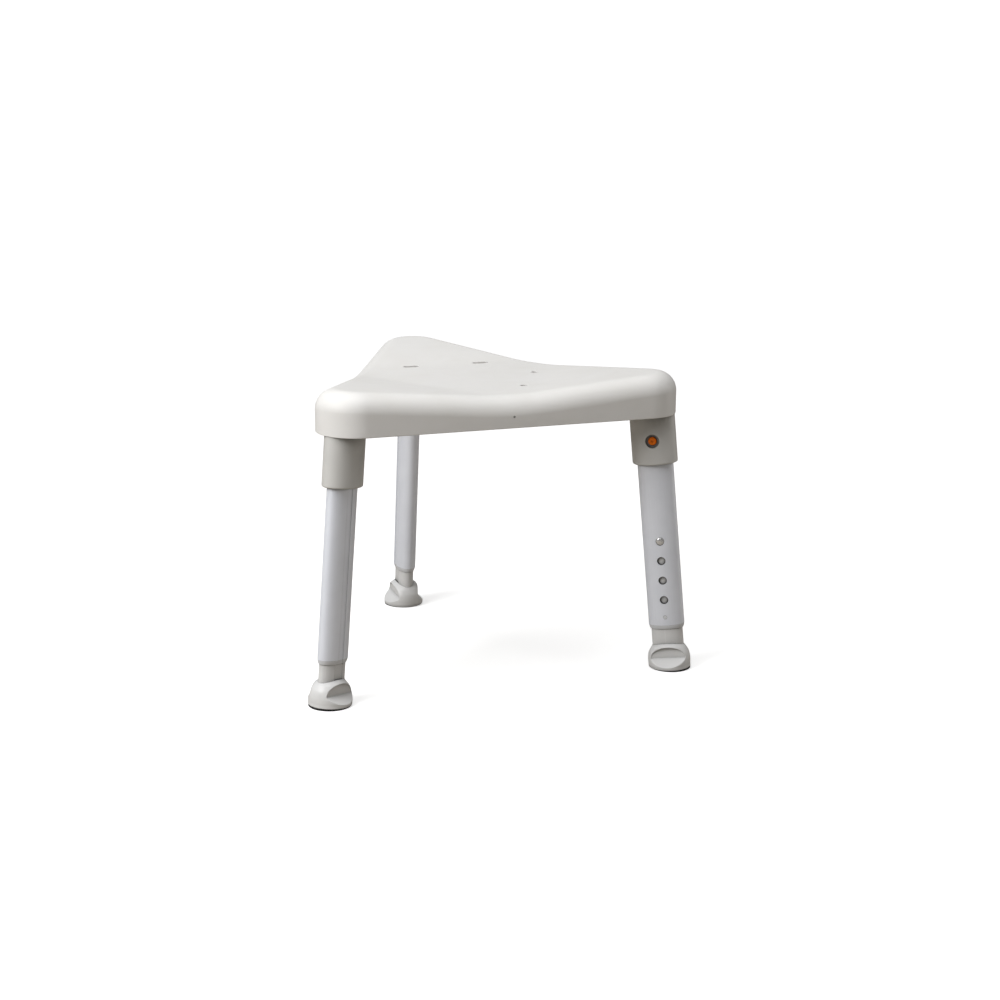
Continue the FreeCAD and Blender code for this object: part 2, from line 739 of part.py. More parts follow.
def wall_chord(half_depth, half_width, reach):
    """How far from the leg's axis an oval wall is, at a sideways distance of reach."""
    return f"({half_width}) * sqrt(1 - (({reach}) / ({half_depth})) ^ 2)"


RELEASE_REACH = "release_diameter / 2 + release_flange"
RELEASE_FACE = (
    f"{wall_chord('tube_half_depth - tube_wall', 'tube_half_width - tube_wall', RELEASE_REACH)}"
    " - fit_gap"
)
SNAP_DIAMETER = "height_hole - 2 * snap_gap"
SNAP_REACH = f"({SNAP_DIAMETER}) / 2 + snap_flange"
SNAP_FACE = (
    f"{wall_chord('inner_half_depth - inner_wall', 'inner_half_width - inner_wall', SNAP_REACH)}"
    " - fit_gap"
)


def make_release_button(side, angle):
    """The plastic button that locks the leg into its socket."""
    end = "socket_half_width - release_sunk"
    button = stud(
        f"{side}_release",
        "release_diameter",
        "release_flange",
        RELEASE_FACE,
        "release_flange_thickness",
        end,
        "release_softening",
    )
    return sub_part(button, f"{side}_release_button", facing_out(angle, "release_level"))


def make_release_spring(side, angle):
    back = f"({RELEASE_FACE} - release_flange_thickness - fit_gap)"
    far_wall = f"({BUMP_FACE} - fit_gap)"
    spring = leaf_spring(f"{side}_release_leaf", "release_level", back, far_wall)
    return sub_part(spring, f"{side}_release_spring", leg_frame(angle))


# ---------------------------------------------------------------- inner leg, foot and sole


def make_inner_leg(side, angle):
    """A hollow plastic oval that slides in the tube and carries the foot."""
    length = "inner_top - inner_bottom"
    halves = ("inner_half_depth", "inner_half_width")
    outside = oval_post(f"{side}_inner_outside", *halves, "inner_bottom", length)
    inside = oval_post(
        f"{side}_inner_inside",
        "inner_half_depth - inner_wall",
        "inner_half_width - inner_wall",
        "inner_bottom - inner_wall",
        f"{length} + 2 * inner_wall",
    )
    floor = "inner_half_width - channel_depth"
    groove = channel(f"{side}_inner_groove", "channel_width / 2", floor, "inner_bottom", length)
    reach = "inner_half_width"
    hole = cross_bore(f"{side}_snap_hole", "height_hole", reach, reach, "snap_level")
    leg = cut(f"{side}_inner", outside, inside, groove, hole)
    return sub_part(leg, f"{side}_inner_leg", leg_frame(angle))


def make_snap_button(side, angle):
    """The metal button that sets the height."""
    button = stud(
        f"{side}_snap",
        SNAP_DIAMETER,
        "snap_flange",
        SNAP_FACE,
        "snap_flange_thickness",
        "tube_half_width + snap_proud",
        "snap_proud",
    )
    return sub_part(button, f"{side}_snap_button", facing_out(angle, "snap_level"))


def make_snap_spring(side, angle):
    back = f"({SNAP_FACE} - snap_flange_thickness - fit_gap)"
    halves = ("inner_half_depth - inner_wall", "inner_half_width - inner_wall")
    chord = wall_chord(*halves, "spring_width / 2")
    spring = leaf_spring(f"{side}_snap_leaf", "snap_level", back, f"({chord} - fit_gap)")
    return sub_part(spring, f"{side}_snap_spring", leg_frame(angle))


FOOT_SHAPE = (
    # share of the height, share of the way from the rim to the base (depth, width), share of bulge
    (0.00, 1.00, 1.00, 0.0),
    (0.14, 1.00, 1.00, 0.8),
    (0.34, 0.99, 0.90, 1.0),
    (0.62, 0.82, 0.62, 0.6),
    (0.84, 0.40, 0.28, 0.2),
    (1.00, 0.00, 0.00, 0.0),
)


def make_foot(side, angle):
    """A flared foot with a thumb scoop on each broad side, over the end of the inner leg."""
    sections = []
    for index, (rise, depth_share, width_share, bulge) in enumerate(FOOT_SHAPE, start=1):
        halves = [
            f"{half} + foot_rim + {share} * (foot_radius - {half} - foot_rim) + {bulge} * foot_bulge"
            for half, share in (("inner_half_depth", depth_share), ("inner_half_width", width_share))
        ]
        level = f"foot_base + {rise} * (foot_height - foot_base)"
        sections.append(oval(f"{side}_foot_section_{index}", *halves, level))
    form = loft(f"{side}_foot_form", sections)
    bore = oval_post(
        f"{side}_foot_bore",
        "inner_half_depth + fit_gap",
        "inner_half_width + fit_gap",
        "foot_floor",
        "foot_height",
    )
    seat_for_sole = post(
        f"{side}_foot_recess",
        "sole_plug_radius + fit_gap",
        "0",
        "foot_base + sole_plug_height + fit_gap",
    )
    scoops = []
    for face, sign in (("front", -1), ("rear", 1)):
        scoop = doc.addObject("Part::Ellipsoid", f"{side}_{face}_scoop")
        bind(
            scoop,
            Radius1="scoop_half_height",
            Radius2="scoop_half_length",
            Radius3="scoop_half_width",
            y=f"{sign} * (inner_half_width + fit_gap + scoop_wall + scoop_half_width)",
            z="scoop_level",
        )
        scoops.append(scoop)
    foot = cut(f"{side}_foot_cut", form, bore, seat_for_sole, *scoops)
    return sub_part(foot, f"{side}_foot", leg_frame(angle))


def make_foot_sole(side, angle):
    """A rubber wedge that lies flat on the floor under the leaning foot."""
    height = "foot_radius + foot_base"
    disc = post(f"{side}_sole_disc", "foot_radius - sole_margin", "-foot_radius", height)
    height = "sole_plug_height + fit_gap"
    plug = post(f"{side}_sole_plug", "sole_plug_radius", "foot_base - fit_gap", height)
    reach = "2 * foot_radius"
    low = (f"-({reach})",) * 3
    under = box(f"{side}_under_floor", *low, f"2 * {reach}", f"2 * {reach}", reach)
    rise = ("-tread_depth", "2 * tread_depth")
    outside = post(f"{side}_tread_outside", "tread_radius + tread_width / 2", *rise)
    inside = post(f"{side}_tread_inside", "tread_radius - tread_width / 2", *rise)
    tread = cut(f"{side}_tread", outside, inside)
    floor = joined(f"{side}_floor", under, tread)
    floor.Placement = Placement(Vector(), Rotation(Vector(0, 1, 0), size("leg_splay")))
    sole = cut(f"{side}_sole", joined(f"{side}_sole_solid", disc, plug), floor)
    return sub_part(sole, f"{side}_foot_sole", leg_frame(angle))


# ---------------------------------------------------------------- the whole stool

LEG_PIECES = (
    make_socket,
    make_leg_tube,
    make_tube_cap,
    make_release_spring,
    make_guide_bush,
    make_release_button,
    make_inner_leg,
    make_snap_spring,
    make_snap_button,
    make_foot,
    make_foot_sole,
)


def check_document():
    """Stop if any object failed, or if a sub-part isn't a sound set of solids."""
    failed = [o.Label for o in doc.Objects if {"Invalid", "Error"} & set(o.State)]
    if failed:
        raise RuntimeError(f"objects that failed: {failed}")
    for thing in sub_parts:
        shape = thing.Shape
        if shape.isNull() or not shape.isValid() or not shape.Solids or shape.Volume <= 0:
            raise RuntimeError(f"sub-part {thing.Label} isn't a sound solid")


def write_parts():
    os.makedirs("parts", exist_ok=True)
    for thing in sub_parts:
        thing.Shape.exportStep(f"parts/{thing.Label}.step")


make_seat_shell()
make_socket_screws()
for leg_side, leg_angle in LEGS.items():
    for make_piece in LEG_PIECES:
        make_piece(leg_side, leg_angle)
doc.recompute()
check_document()
write_parts()
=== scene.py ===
"""Shower stool: a dished three-cornered seat on three push-button legs.

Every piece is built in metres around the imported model, with z up and the back leg at +y.
Leg pieces are drawn in their leg's own frame: z runs up the leg and x points outwards.
"""

import math

import bmesh
import bpy
from mathutils import Matrix, Vector


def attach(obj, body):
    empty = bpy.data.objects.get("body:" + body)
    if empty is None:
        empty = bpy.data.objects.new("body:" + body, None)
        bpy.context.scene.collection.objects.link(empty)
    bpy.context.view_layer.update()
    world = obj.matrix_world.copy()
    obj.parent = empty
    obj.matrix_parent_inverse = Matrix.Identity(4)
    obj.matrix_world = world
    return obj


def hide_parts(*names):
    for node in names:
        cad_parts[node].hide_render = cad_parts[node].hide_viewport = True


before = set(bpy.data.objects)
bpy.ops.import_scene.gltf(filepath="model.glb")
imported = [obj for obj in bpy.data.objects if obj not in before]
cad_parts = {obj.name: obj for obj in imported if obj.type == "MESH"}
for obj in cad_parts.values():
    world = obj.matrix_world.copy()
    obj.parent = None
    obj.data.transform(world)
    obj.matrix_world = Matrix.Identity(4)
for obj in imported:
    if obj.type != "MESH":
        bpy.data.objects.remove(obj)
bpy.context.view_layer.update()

bl_info = {
    "name": "Shower stool",
    "version": (1, 0, 0),
    "blender": (4, 5, 0),
    "location": "3D View > Sidebar > Stool",
    "description": "Builds the seat, legs and fittings of a shower stool and their finishes",
    "category": "Add Mesh",
}

LEG_ANGLES = {"left": 210, "right": 330, "back": 90}


# ---------------------------------------------------------------- settings


def length(name, default, description):
    return bpy.props.FloatProperty(
        name=name, default=default, description=description, min=0, precision=4, unit="LENGTH"
    )


def colour(name, default, description):
    return bpy.props.FloatVectorProperty(
        name=name, default=default, description=description, min=0, max=1, size=4, subtype="COLOR"
    )


def share(name, default, description):
    return bpy.props.FloatProperty(
        name=name, default=default, description=description, min=0, max=1, subtype="FACTOR"
    )


def power(name, default, description):
    return bpy.props.FloatProperty(
        name=name, default=default, description=description, min=0, unit="POWER"
    )


class SeatSettings(bpy.types.PropertyGroup):
    height: length("Height", 0.430, "Floor to the top of the seat's corners")
    corner_circle: length("Corner circle", 0.238, "Seat axis to the centre of each corner")
    corner_radius: length("Corner radius", 0.055, "Radius of the corners in plan")
    skirt_level: length("Skirt level", 0.371, "Floor to the lower edge of the skirt")
    wall: length("Wall", 0.004, "Thickness of the moulding")
    edge_radius: length("Edge radius", 0.027, "Rounding of the upper edge")
    corner_rise: length("Corner rise", 0.0162, "How far the corners stand above the sides")
    crease_reach: length("Crease reach", 0.0978, "Seat axis to where a corner starts to rise")
    crease_blend: length("Crease blend", 0.007, "Softness of the start of each raised corner")
    dish_depth: length("Dish depth", 0.002, "Depth of the dish in the middle")
    rim_softness: length("Rim softness", 0.0013, "Rounding of the skirt's rim")
    opening_softness: length("Opening softness", 0.0004, "Rounding of the slots and holes")
    drain_spacing: length("Drain spacing", 0.107, "Distance between the openings of a pair")
    slot_reach: length("Slot reach", 0.099, "Seat axis to the pair of slots")
    slot_length: length("Slot length", 0.024, "Length of a drain slot")
    slot_width: length("Slot width", 0.008, "Width of a drain slot")
    hole_reach: length("Hole reach", 0.0855, "Seat axis to the pair of round holes")
    hole_diameter: length("Hole diameter", 0.0105, "Diameter of a round drain hole")
    rib_thickness: length("Rib thickness", 0.003, "Thickness of the ribs under the seat")
    hub_radius: length("Hub radius", 0.034, "Radius of the round rib")
    light: colour("Light tone", (0.770, 0.762, 0.747, 1), "Lighter tone of the seat's plastic")
    dark: colour("Dark tone", (0.735, 0.724, 0.702, 1), "Darker tone of the seat's plastic")


class LegSettings(bpy.types.PropertyGroup):
    foot_circle: length("Foot circle", 0.2945, "Seat axis to a leg's axis at the floor")
    splay: bpy.props.FloatProperty(
        name="Splay", default=math.radians(5.37), description="Lean of each leg", subtype="ANGLE"
    )
    tube_half_depth: length("Tube half depth", 0.0255, "Half of the oval tube, outwards")
    tube_half_width: length("Tube half width", 0.01555, "Half of the oval tube, around the seat")
    tube_wall: length("Tube wall", 0.0015, "Wall of the tube")
    tube_bottom: length("Tube bottom", 0.065, "Foot to the tube's lower end")
    tube_top: length("Tube top", 0.384, "Foot to the tube's upper end")
    channel_width: length("Channel width", 0.010, "Width of the long channel")
    channel_depth: length("Channel depth", 0.0014, "Depth of the long channel")
    height_hole: length("Height hole", 0.012, "Diameter of the height holes")
    height_pitch: length("Height pitch", 0.0287, "Distance between two height holes")
    snap_level: length("Snap level", 0.189, "Foot to the metal button")
    release_level: length("Release level", 0.3354, "Foot to the orange button")
    inner_half_depth: length("Inner half depth", 0.02245, "Half of the inner leg, outwards")
    inner_half_width: length("Inner half width", 0.01275, "Half of the inner leg, around the seat")
    light: colour("Aluminium light", (0.850, 0.880, 0.950, 1), "Lighter tone of the aluminium")
    dark: colour("Aluminium dark", (0.800, 0.828, 0.895, 1), "Darker tone of the aluminium")


class FittingSettings(bpy.types.PropertyGroup):
    collar: colour("Collars", (0.610, 0.605, 0.585, 1), "Plastic of the collars under the seat")
    bush: colour("Guide bushes", (0.720, 0.735, 0.760, 1), "Plastic of the guide bushes")
    foot: colour("Feet", (0.730, 0.732, 0.730, 1), "Plastic of the inner legs and feet")
    button: colour("Release buttons", (1.0, 0.20, 0.005, 1), "Plastic of the release buttons")
    rubber: colour("Soles", (0.018, 0.018, 0.020, 1), "Rubber of the soles")
    steel: colour("Steel", (0.82, 0.82, 0.82, 1), "Steel of the buttons, screws and springs")


class StageSettings(bpy.types.PropertyGroup):
    floor: colour("Floor", (0.90, 0.90, 0.90, 1), "Colour of the floor as the camera sees it")
    bounce: colour("Bounce", (0.36, 0.325, 0.28, 1), "Colour that the floor throws on the stool")
    floor_glow: share("Floor glow", 0.5, "Brightness that the camera sees on the floor itself")
    surroundings: share("Surroundings", 0.16, "Brightness of the room around the stool")
    top_light: power("Top light", 37, "Power of the light above")
    left_light: power("Left light", 66, "Power of the left light")
    right_light: power("Right light", 8, "Power of the right light")


# ---------------------------------------------------------------- mesh helpers


# Points closer than this are one point.
SAME_PLACE = 1e-7


def smooth_step(value):
    value = min(1.0, max(0.0, value))
    return value * value * (3 - 2 * value)


def soft_min(first, second, softness):
    """The smaller of two lengths, with a rounded change between them."""
    low = min(first, second)
    return low - softness * math.log1p(math.exp(-abs(first - second) / softness))


def at_level(spots, z):
    """A ring of points at one height."""
    return [Vector((x, y, z)) for x, y in spots]


def at_levels(spots, levels, rise=0.0):
    """A ring of points, each at its own height."""
    return [Vector((x, y, z + rise)) for (x, y), z in zip(spots, levels)]


def bridge(sheet, low, high):
    """Faces between two loops."""
    for k in range(len(low)):
        sheet.faces.new((low[k - 1], low[k], high[k], high[k - 1]))


def skin(sheet, rings):
    """Faces between rings of points, each ring joined to the next one."""
    loops = [[sheet.verts.new(point) for point in ring] for ring in rings]
    for low, high in zip(loops, loops[1:]):
        bridge(sheet, low, high)
    return loops


def closed_skin(sheet, rings):
    """Faces between rings, with the last ring joined to the first, as around a wall."""
    loops = skin(sheet, rings)
    bridge(sheet, loops[-1], loops[0])


def cap(sheet, loop, centre):
    """Close a loop with faces that meet in a point."""
    middle = sheet.verts.new(centre)
    for k in range(len(loop)):
        sheet.faces.new((loop[k - 1], loop[k], middle))


def solid_between_caps(sheet, rings):
    """A closed skin whose two ends meet in the middle of their rings."""
    loops = skin(sheet, rings)
    for loop in (loops[0], loops[-1]):
        middle = sum((v.co for v in loop), Vector()) / len(loop)
        cap(sheet, loop, middle)


def as_mesh(name, sheet, place):
    bmesh.ops.remove_doubles(sheet, verts=sheet.verts, dist=SAME_PLACE)
    bmesh.ops.recalc_face_normals(sheet, faces=sheet.faces)
    sheet.transform(place)
    mesh = bpy.data.meshes.new(name)
    sheet.to_mesh(mesh)
    sheet.free()
    return mesh


def as_object(name, sheet, place=Matrix.Identity(4)):
    thing = bpy.data.objects.new(name, as_mesh(name, sheet, place))
    bpy.context.scene.collection.objects.link(thing)
    return thing


def combine(thing, tools, operation):
    """Cut tools out of thing, or join them to it, and remove them."""
    for tool in tools:
        modifier = thing.modifiers.new(operation, "BOOLEAN")
        modifier.operation = operation
        modifier.object = tool
        modifier.solver = "EXACT"
    bpy.context.view_layer.update()
    graph = bpy.context.evaluated_depsgraph_get()
    mesh = bpy.data.meshes.new_from_object(thing.evaluated_get(graph))
    thing.modifiers.clear()
    thing.data = mesh
    for tool in tools:
        bpy.data.objects.remove(tool)
    sheet = bmesh.new()
    sheet.from_mesh(mesh)
    bmesh.ops.dissolve_degenerate(sheet, edges=sheet.edges, dist=SAME_PLACE)
    sheet.to_mesh(mesh)
    sheet.free()
    if not mesh.polygons:
        raise RuntimeError(f"{thing.name} has nothing left")


# Faces that meet at more than this many degrees keep a sharp edge.
CREASE = 38


def dress(thing, body, material, node):
    """Shade a finished piece, put it on its body and let it stand for its node."""
    mesh = thing.data
    mesh.materials.clear()
    mesh.materials.append(material)
    mesh.shade_smooth()
    mesh.set_sharp_from_angle(angle=math.radians(CREASE))
    weighted = thing.modifiers.new("even_shading", "WEIGHTED_NORMAL")
    weighted.keep_sharp = True
    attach(thing, body)
    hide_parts(node)


def oval(half_depth, half_width, count=96):
    turns = [math.tau * k / count for k in range(count)]
    return [(half_depth * math.cos(t), half_width * math.sin(t)) for t in turns]


# From a channel's wall to the outline's points on both sides of it, and half of its slope.
CHANNEL_STEPS = (0.0009, 0.0006, 0.0004, 0.00025, 0.0001, -0.0001, -0.00025, -0.0004, -0.0006)
CHANNEL_SOFTNESS = 0.0004


def channelled_oval(half_depth, half_width, channel_half, floor, count=150):
    """An oval with a channel in its +y side, whose walls are a little soft."""
    outer = channel_half + 2 * CHANNEL_STEPS[0]
    edge = math.acos(outer / half_depth)
    sweep = math.pi + 2 * edge
    turns = [math.pi - edge + sweep * k / (count - 1) for k in range(count)]
    points = [(half_depth * math.cos(t), half_width * math.sin(t)) for t in turns]
    near = [channel_half + step for step in CHANNEL_STEPS]
    flat = [near[-1] * share_of for share_of in (0.6, 0.2, -0.2, -0.6)]
    for x in near + flat + [-x for x in reversed(near)]:
        top = half_width * math.sqrt(1 - (x / half_depth) ** 2)
        inside = smooth_step((channel_half + CHANNEL_SOFTNESS - abs(x)) / (2 * CHANNEL_SOFTNESS))
        points.append((x, top + (floor - top) * inside))
    return points


def quarter(steps=4):
    """Cosine and sine pairs of a quarter turn."""
    turns = [math.pi / 2 * k / steps for k in range(steps + 1)]
    return [(math.cos(t), math.sin(t)) for t in turns]


def wall_rows(low, high, wall, soft):
    """(inset, z) around the section of a wall, with soft corners."""
    arcs = quarter(3)
    rows = [(soft - soft * c, low + soft - soft * s) for c, s in reversed(arcs)]
    rows += [(soft - soft * c, high - soft + soft * s) for c, s in arcs]
    rows += [(wall - soft + soft * c, high - soft + soft * s) for c, s in reversed(arcs)]
    rows += [(wall - soft + soft * c, low + soft - soft * s) for c, s in arcs]
    return rows


def lathe(sheet, rows, count=64):
    """A turned solid about z from (radius, z) rows. Its ends are closed."""
    solid_between_caps(sheet, [at_level(oval(r, r, count), z) for r, z in rows])


def flared_tool(name, outline, depth, flare, surface):
    """A cutter that leaves a rounded rim. outline(grow) gives its points and surface(x, y)
    gives the height of the face that it enters."""
    rows = [(flare, 2 * flare)]
    rows += [(flare - flare * c, flare * s - flare) for c, s in reversed(quarter(6))]
    rows.append((0, -depth))
    sheet = bmesh.new()
    rings = []
    for grow, rise in rows:
        spots = outline(grow)
        rings.append(at_levels(spots, [surface(x, y) for x, y in spots], rise))
    solid_between_caps(sheet, rings)
    return as_object(name, sheet)


def long_hole(x, y, run, radius, grow, count=12):
    """A slot's outline along x, grown outwards."""
    spots = []
    for end, start in ((1, -90), (-1, 90)):
        for k in range(count + 1):
            turn = math.radians(start + 180 * k / count)
            reach = radius + grow
            spots.append((x + end * run / 2 + reach * math.cos(turn), y + reach * math.sin(turn)))
    return spots


def round_hole(x, y, radius, grow, count=40):
    return [(x + px, y + py) for px, py in oval(radius + grow, radius + grow, count)]


def leg_place(side):
    """From a leg's own frame to the stool's frame."""
    legs = bpy.context.scene.stool_legs
    turn = Matrix.Rotation(math.radians(LEG_ANGLES[side]), 4, "Z")
    lean = Matrix.Rotation(-legs.splay, 4, "Y")
    return turn @ Matrix.Translation((legs.foot_circle, 0, 0)) @ lean


def facing_out(side, level):
    """A frame on the leg's axis whose z axis points out of the side with the holes."""
    across = Matrix.Rotation(math.radians(90), 4, "X")
    return leg_place(side) @ Matrix.Translation((0, 0, level)) @ across


# ---------------------------------------------------------------- finishes


def wire(tree, kind, sockets=None, **settings):
    """Add a node. A socket takes a value or another node's output."""
    made = tree.nodes.new(kind)
    for name, value in settings.items():
        setattr(made, name, value)
    for key, value in (sockets or {}).items():
        if isinstance(value, bpy.types.NodeSocket):
            tree.links.new(value, made.inputs[key])
        else:
            made.inputs[key].default_value = value
    return made


# Nearly all values of a noise texture lie between these.
NOISE = (0.3, 0.7)


def ranged(tree, value, low, high, to_low, to_high):
    """A value mapped from one range to another, and kept inside it."""
    sockets = {"Value": value, "From Min": low, "From Max": high, "To Min": to_low, "To Max": to_high}
    return wire(tree, "ShaderNodeMapRange", sockets).outputs[0]


def mixed(tree, factor, first, second):
    """A colour between two others."""
    node = wire(tree, "ShaderNodeMix", {0: factor, 6: first, 7: second}, data_type="RGBA")
    return node.outputs[2]


def new_group(name, inputs, outputs):
    """A node group with named sockets, and its input and output nodes."""
    tree = bpy.data.node_groups.new(name, "ShaderNodeTree")
    for title, kind in inputs.items():
        tree.interface.new_socket(title, in_out="INPUT", socket_type=f"NodeSocket{kind}")
    for title, kind in outputs.items():
        tree.interface.new_socket(title, in_out="OUTPUT", socket_type=f"NodeSocket{kind}")
    return tree, tree.nodes.new("NodeGroupInput"), tree.nodes.new("NodeGroupOutput")


def moulded_grain():
    """Fine spark-eroded grain of moulded plastic, with faint flow mottling."""
    made = bpy.data.node_groups.get("Moulded grain")
    if made:
        return made
    tree, given, result = new_group(
        "Moulded grain",
        {"Vector": "Vector", "Grain": "Float", "Light": "Color", "Dark": "Color", "Shine": "Float"},
        {"Color": "Color", "Roughness": "Float", "Height": "Float"},
    )
    where = given.outputs["Vector"]
    grain = wire(
        tree,
        "ShaderNodeTexNoise",
        {"Vector": where, "Scale": given.outputs["Grain"], "Detail": 2, "Roughness": 0.55},
    ).outputs[0]
    flow = wire(
        tree, "ShaderNodeTexNoise", {"Vector": where, "Scale": 14, "Detail": 3, "Distortion": 0.6}
    ).outputs[0]
    tone = ranged(tree, flow, *NOISE, 0, 1)
    shade = mixed(tree, tone, given.outputs["Dark"], given.outputs["Light"])
    speck_gloss, flow_gloss = 0.035, 0.03
    speck = ranged(tree, grain, *NOISE, -speck_gloss, speck_gloss)
    broad = ranged(tree, flow, *NOISE, flow_gloss, -flow_gloss)
    uneven = wire(tree, "ShaderNodeMath", {0: speck, 1: broad}, operation="ADD").outputs[0]
    rough = wire(tree, "ShaderNodeMath", {0: uneven, 1: given.outputs["Shine"]}, operation="ADD")
    tree.links.new(shade, result.inputs["Color"])
    tree.links.new(rough.outputs[0], result.inputs["Roughness"])
    tree.links.new(grain, result.inputs["Height"])
    return tree


def painted_crevice_shade():
    """Painted shade: darkens a colour in gaps and recesses, as far as light has trouble to reach."""
    made = bpy.data.node_groups.get("Painted crevice shade")
    if made:
        return made
    tree, given, result = new_group(
        "Painted crevice shade",
        {"Color": "Color", "Reach": "Float", "Kept": "Float"},
        {"Color": "Color"},
    )
    gap, clear = 0.45, 0.97
    reached = wire(
        tree, "ShaderNodeAmbientOcclusion", {"Distance": given.outputs["Reach"]}, samples=12
    )
    open_share = ranged(tree, reached.outputs["AO"], gap, clear, 0, 1)
    shade = ranged(tree, open_share, 0, 1, given.outputs["Kept"], 1)
    sockets = {0: given.outputs["Color"], 1: shade}
    dim = wire(tree, "ShaderNodeVectorMath", sockets, operation="MULTIPLY")
    tree.links.new(dim.outputs[0], result.inputs["Color"])
    return tree


def edge_wear_and_highlight():
    """Edges lighter and smoother, partly wear and partly a painted highlight, and hollows a little darker.
    """
    made = bpy.data.node_groups.get("Edge wear and painted highlight")
    if made:
        return made
    tree, given, result = new_group(
        "Edge wear and painted highlight",
        {"Color": "Color", "Roughness": "Float", "Edge": "Color", "Dust": "Color"},
        {"Color": "Color", "Roughness": "Float"},
    )
    edge_share, sunken_share, edge_gloss = 0.45, 0.5, 0.12
    bend = wire(tree, "ShaderNodeNewGeometry").outputs["Pointiness"]
    ridge = ranged(tree, bend, 0.52, 0.60, 0, edge_share)
    hollow = ranged(tree, bend, 0.48, 0.40, 0, sunken_share)
    edged = mixed(tree, ridge, given.outputs["Color"], given.outputs["Edge"])
    sunken_tinted = mixed(tree, hollow, edged, given.outputs["Dust"])
    worn = wire(tree, "ShaderNodeMath", {0: ridge, 1: edge_gloss}, operation="MULTIPLY").outputs[0]
    rough = wire(tree, "ShaderNodeMath", {0: given.outputs["Roughness"], 1: worn}, operation="SUBTRACT")
    tree.links.new(sunken_tinted, result.inputs["Color"])
    tree.links.new(rough.outputs[0], result.inputs["Roughness"])
    return tree


# How often a drawn tube's lines change, across and along the tube.
LINE_SCALE = (2600, 2600, 9)


def drawn_lines():
    """Long faint lines of a drawn and anodised tube. The vector's z runs along them."""
    made = bpy.data.node_groups.get("Drawn lines")
    if made:
        return made
    tree, given, result = new_group(
        "Drawn lines",
        {"Vector": "Vector", "Light": "Color", "Dark": "Color", "Shine": "Float"},
        {"Color": "Color", "Roughness": "Float", "Height": "Float"},
    )
    where = given.outputs["Vector"]
    long_way = wire(tree, "ShaderNodeMapping", {"Vector": where, "Scale": LINE_SCALE})
    lines = wire(
        tree, "ShaderNodeTexNoise", {"Vector": long_way.outputs[0], "Scale": 1, "Detail": 2}
    ).outputs[0]
    cloud = wire(tree, "ShaderNodeTexNoise", {"Vector": where, "Scale": 26, "Detail": 3}).outputs[0]
    tone = wire(tree, "ShaderNodeMath", {0: lines, 1: cloud}, operation="MULTIPLY").outputs[0]
    tones, line_gloss = (0.15, 0.38), 0.04
    lit = ranged(tree, tone, *tones, 0, 1)
    shade = mixed(tree, lit, given.outputs["Dark"], given.outputs["Light"])
    uneven = ranged(tree, tone, *tones, line_gloss, -line_gloss)
    rough = wire(tree, "ShaderNodeMath", {0: uneven, 1: given.outputs["Shine"]}, operation="ADD")
    tree.links.new(shade, result.inputs["Color"])
    tree.links.new(rough.outputs[0], result.inputs["Roughness"])
    tree.links.new(lines, result.inputs["Height"])
    return tree


def darker(tone, share_kept):
    return (*(part * share_kept for part in tone[:3]), 1)


def start_material(name):
    """A material's tree, its shader and the piece's own coordinates."""
    material = bpy.data.materials.new(name)
    material.use_nodes = True
    tree = material.node_tree
    shader = tree.nodes["Principled BSDF"]
    where = wire(tree, "ShaderNodeTexCoord").outputs["Object"]
    return material, tree, shader, where


def placed(tree, group, **sockets):
    """Put a shared node group into a material."""
    return wire(tree, "ShaderNodeGroup", sockets, node_tree=group)


def shaded(tree, shader, tone, reach, kept):
    """Send a colour to the shader with painted shade, darker in gaps narrower than reach. kept is the share
    of the colour that stays in the deepest ones."""
    gaps = placed(tree, painted_crevice_shade(), Color=tone, Reach=reach, Kept=kept)
    tree.links.new(gaps.outputs["Color"], shader.inputs["Base Color"])


def raise_surface(tree, shader, height, distance, strength=1.0):
    bump = wire(tree, "ShaderNodeBump", {"Height": height, "Distance": distance, "Strength": strength})
    tree.links.new(bump.outputs[0], shader.inputs["Normal"])


def plastic(
    name, light, dark=None, shine=0.38, reach=0.008, kept=0.25, grain=1500, depth=0.00003, specular=0.5
):
    """Moulded plastic with grain, mottling, worn edges with a painted highlight, hollows a little darker
    and painted shade in narrow gaps.
    """
    material, tree, shader, where = start_material(f"{name}_finish")
    dark = dark or darker(light, 0.92)
    moulded = placed(
        tree, moulded_grain(), Vector=where, Grain=grain, Light=light, Dark=dark, Shine=shine
    )
    # Its Edge colour lightens the ridges: partly wear, partly a painted highlight.
    edges = placed(
        tree,
        edge_wear_and_highlight(),
        Color=moulded.outputs["Color"],
        Roughness=moulded.outputs["Roughness"],
        Edge=tuple(min(1, part * 1.12) for part in light[:3]) + (1,),
        Dust=darker(dark, 0.82),
    )
    # Painted shade: the colour darkens in gaps narrower than reach, down to the share kept.
    shaded(tree, shader, edges.outputs["Color"], reach, kept)
    tree.links.new(edges.outputs["Roughness"], shader.inputs["Roughness"])
    shader.inputs["Specular IOR Level"].default_value = specular
    raise_surface(tree, shader, moulded.outputs["Height"], depth)
    return material


def anodised(side):
    """Satin anodised aluminium, drawn along the leg."""
    legs = bpy.context.scene.stool_legs
    material, tree, shader, where = start_material(f"anodised_aluminium_{side}")
    place, turn, _ = leg_place(side).decompose()
    sockets = {"Vector": where, "Location": place, "Rotation": turn.to_euler()}
    own = wire(tree, "ShaderNodeMapping", sockets, vector_type="TEXTURE").outputs[0]
    drawn = placed(tree, drawn_lines(), Vector=own, Light=legs.light, Dark=legs.dark, Shine=0.46)
    # Painted shade along the channel's edges.
    shaded(tree, shader, drawn.outputs["Color"], reach=0.004, kept=0.30)
    tree.links.new(drawn.outputs["Roughness"], shader.inputs["Roughness"])
    shader.inputs["Metallic"].default_value = 0.22
    raise_surface(tree, shader, drawn.outputs["Height"], distance=0.00001, strength=0.3)
    return material


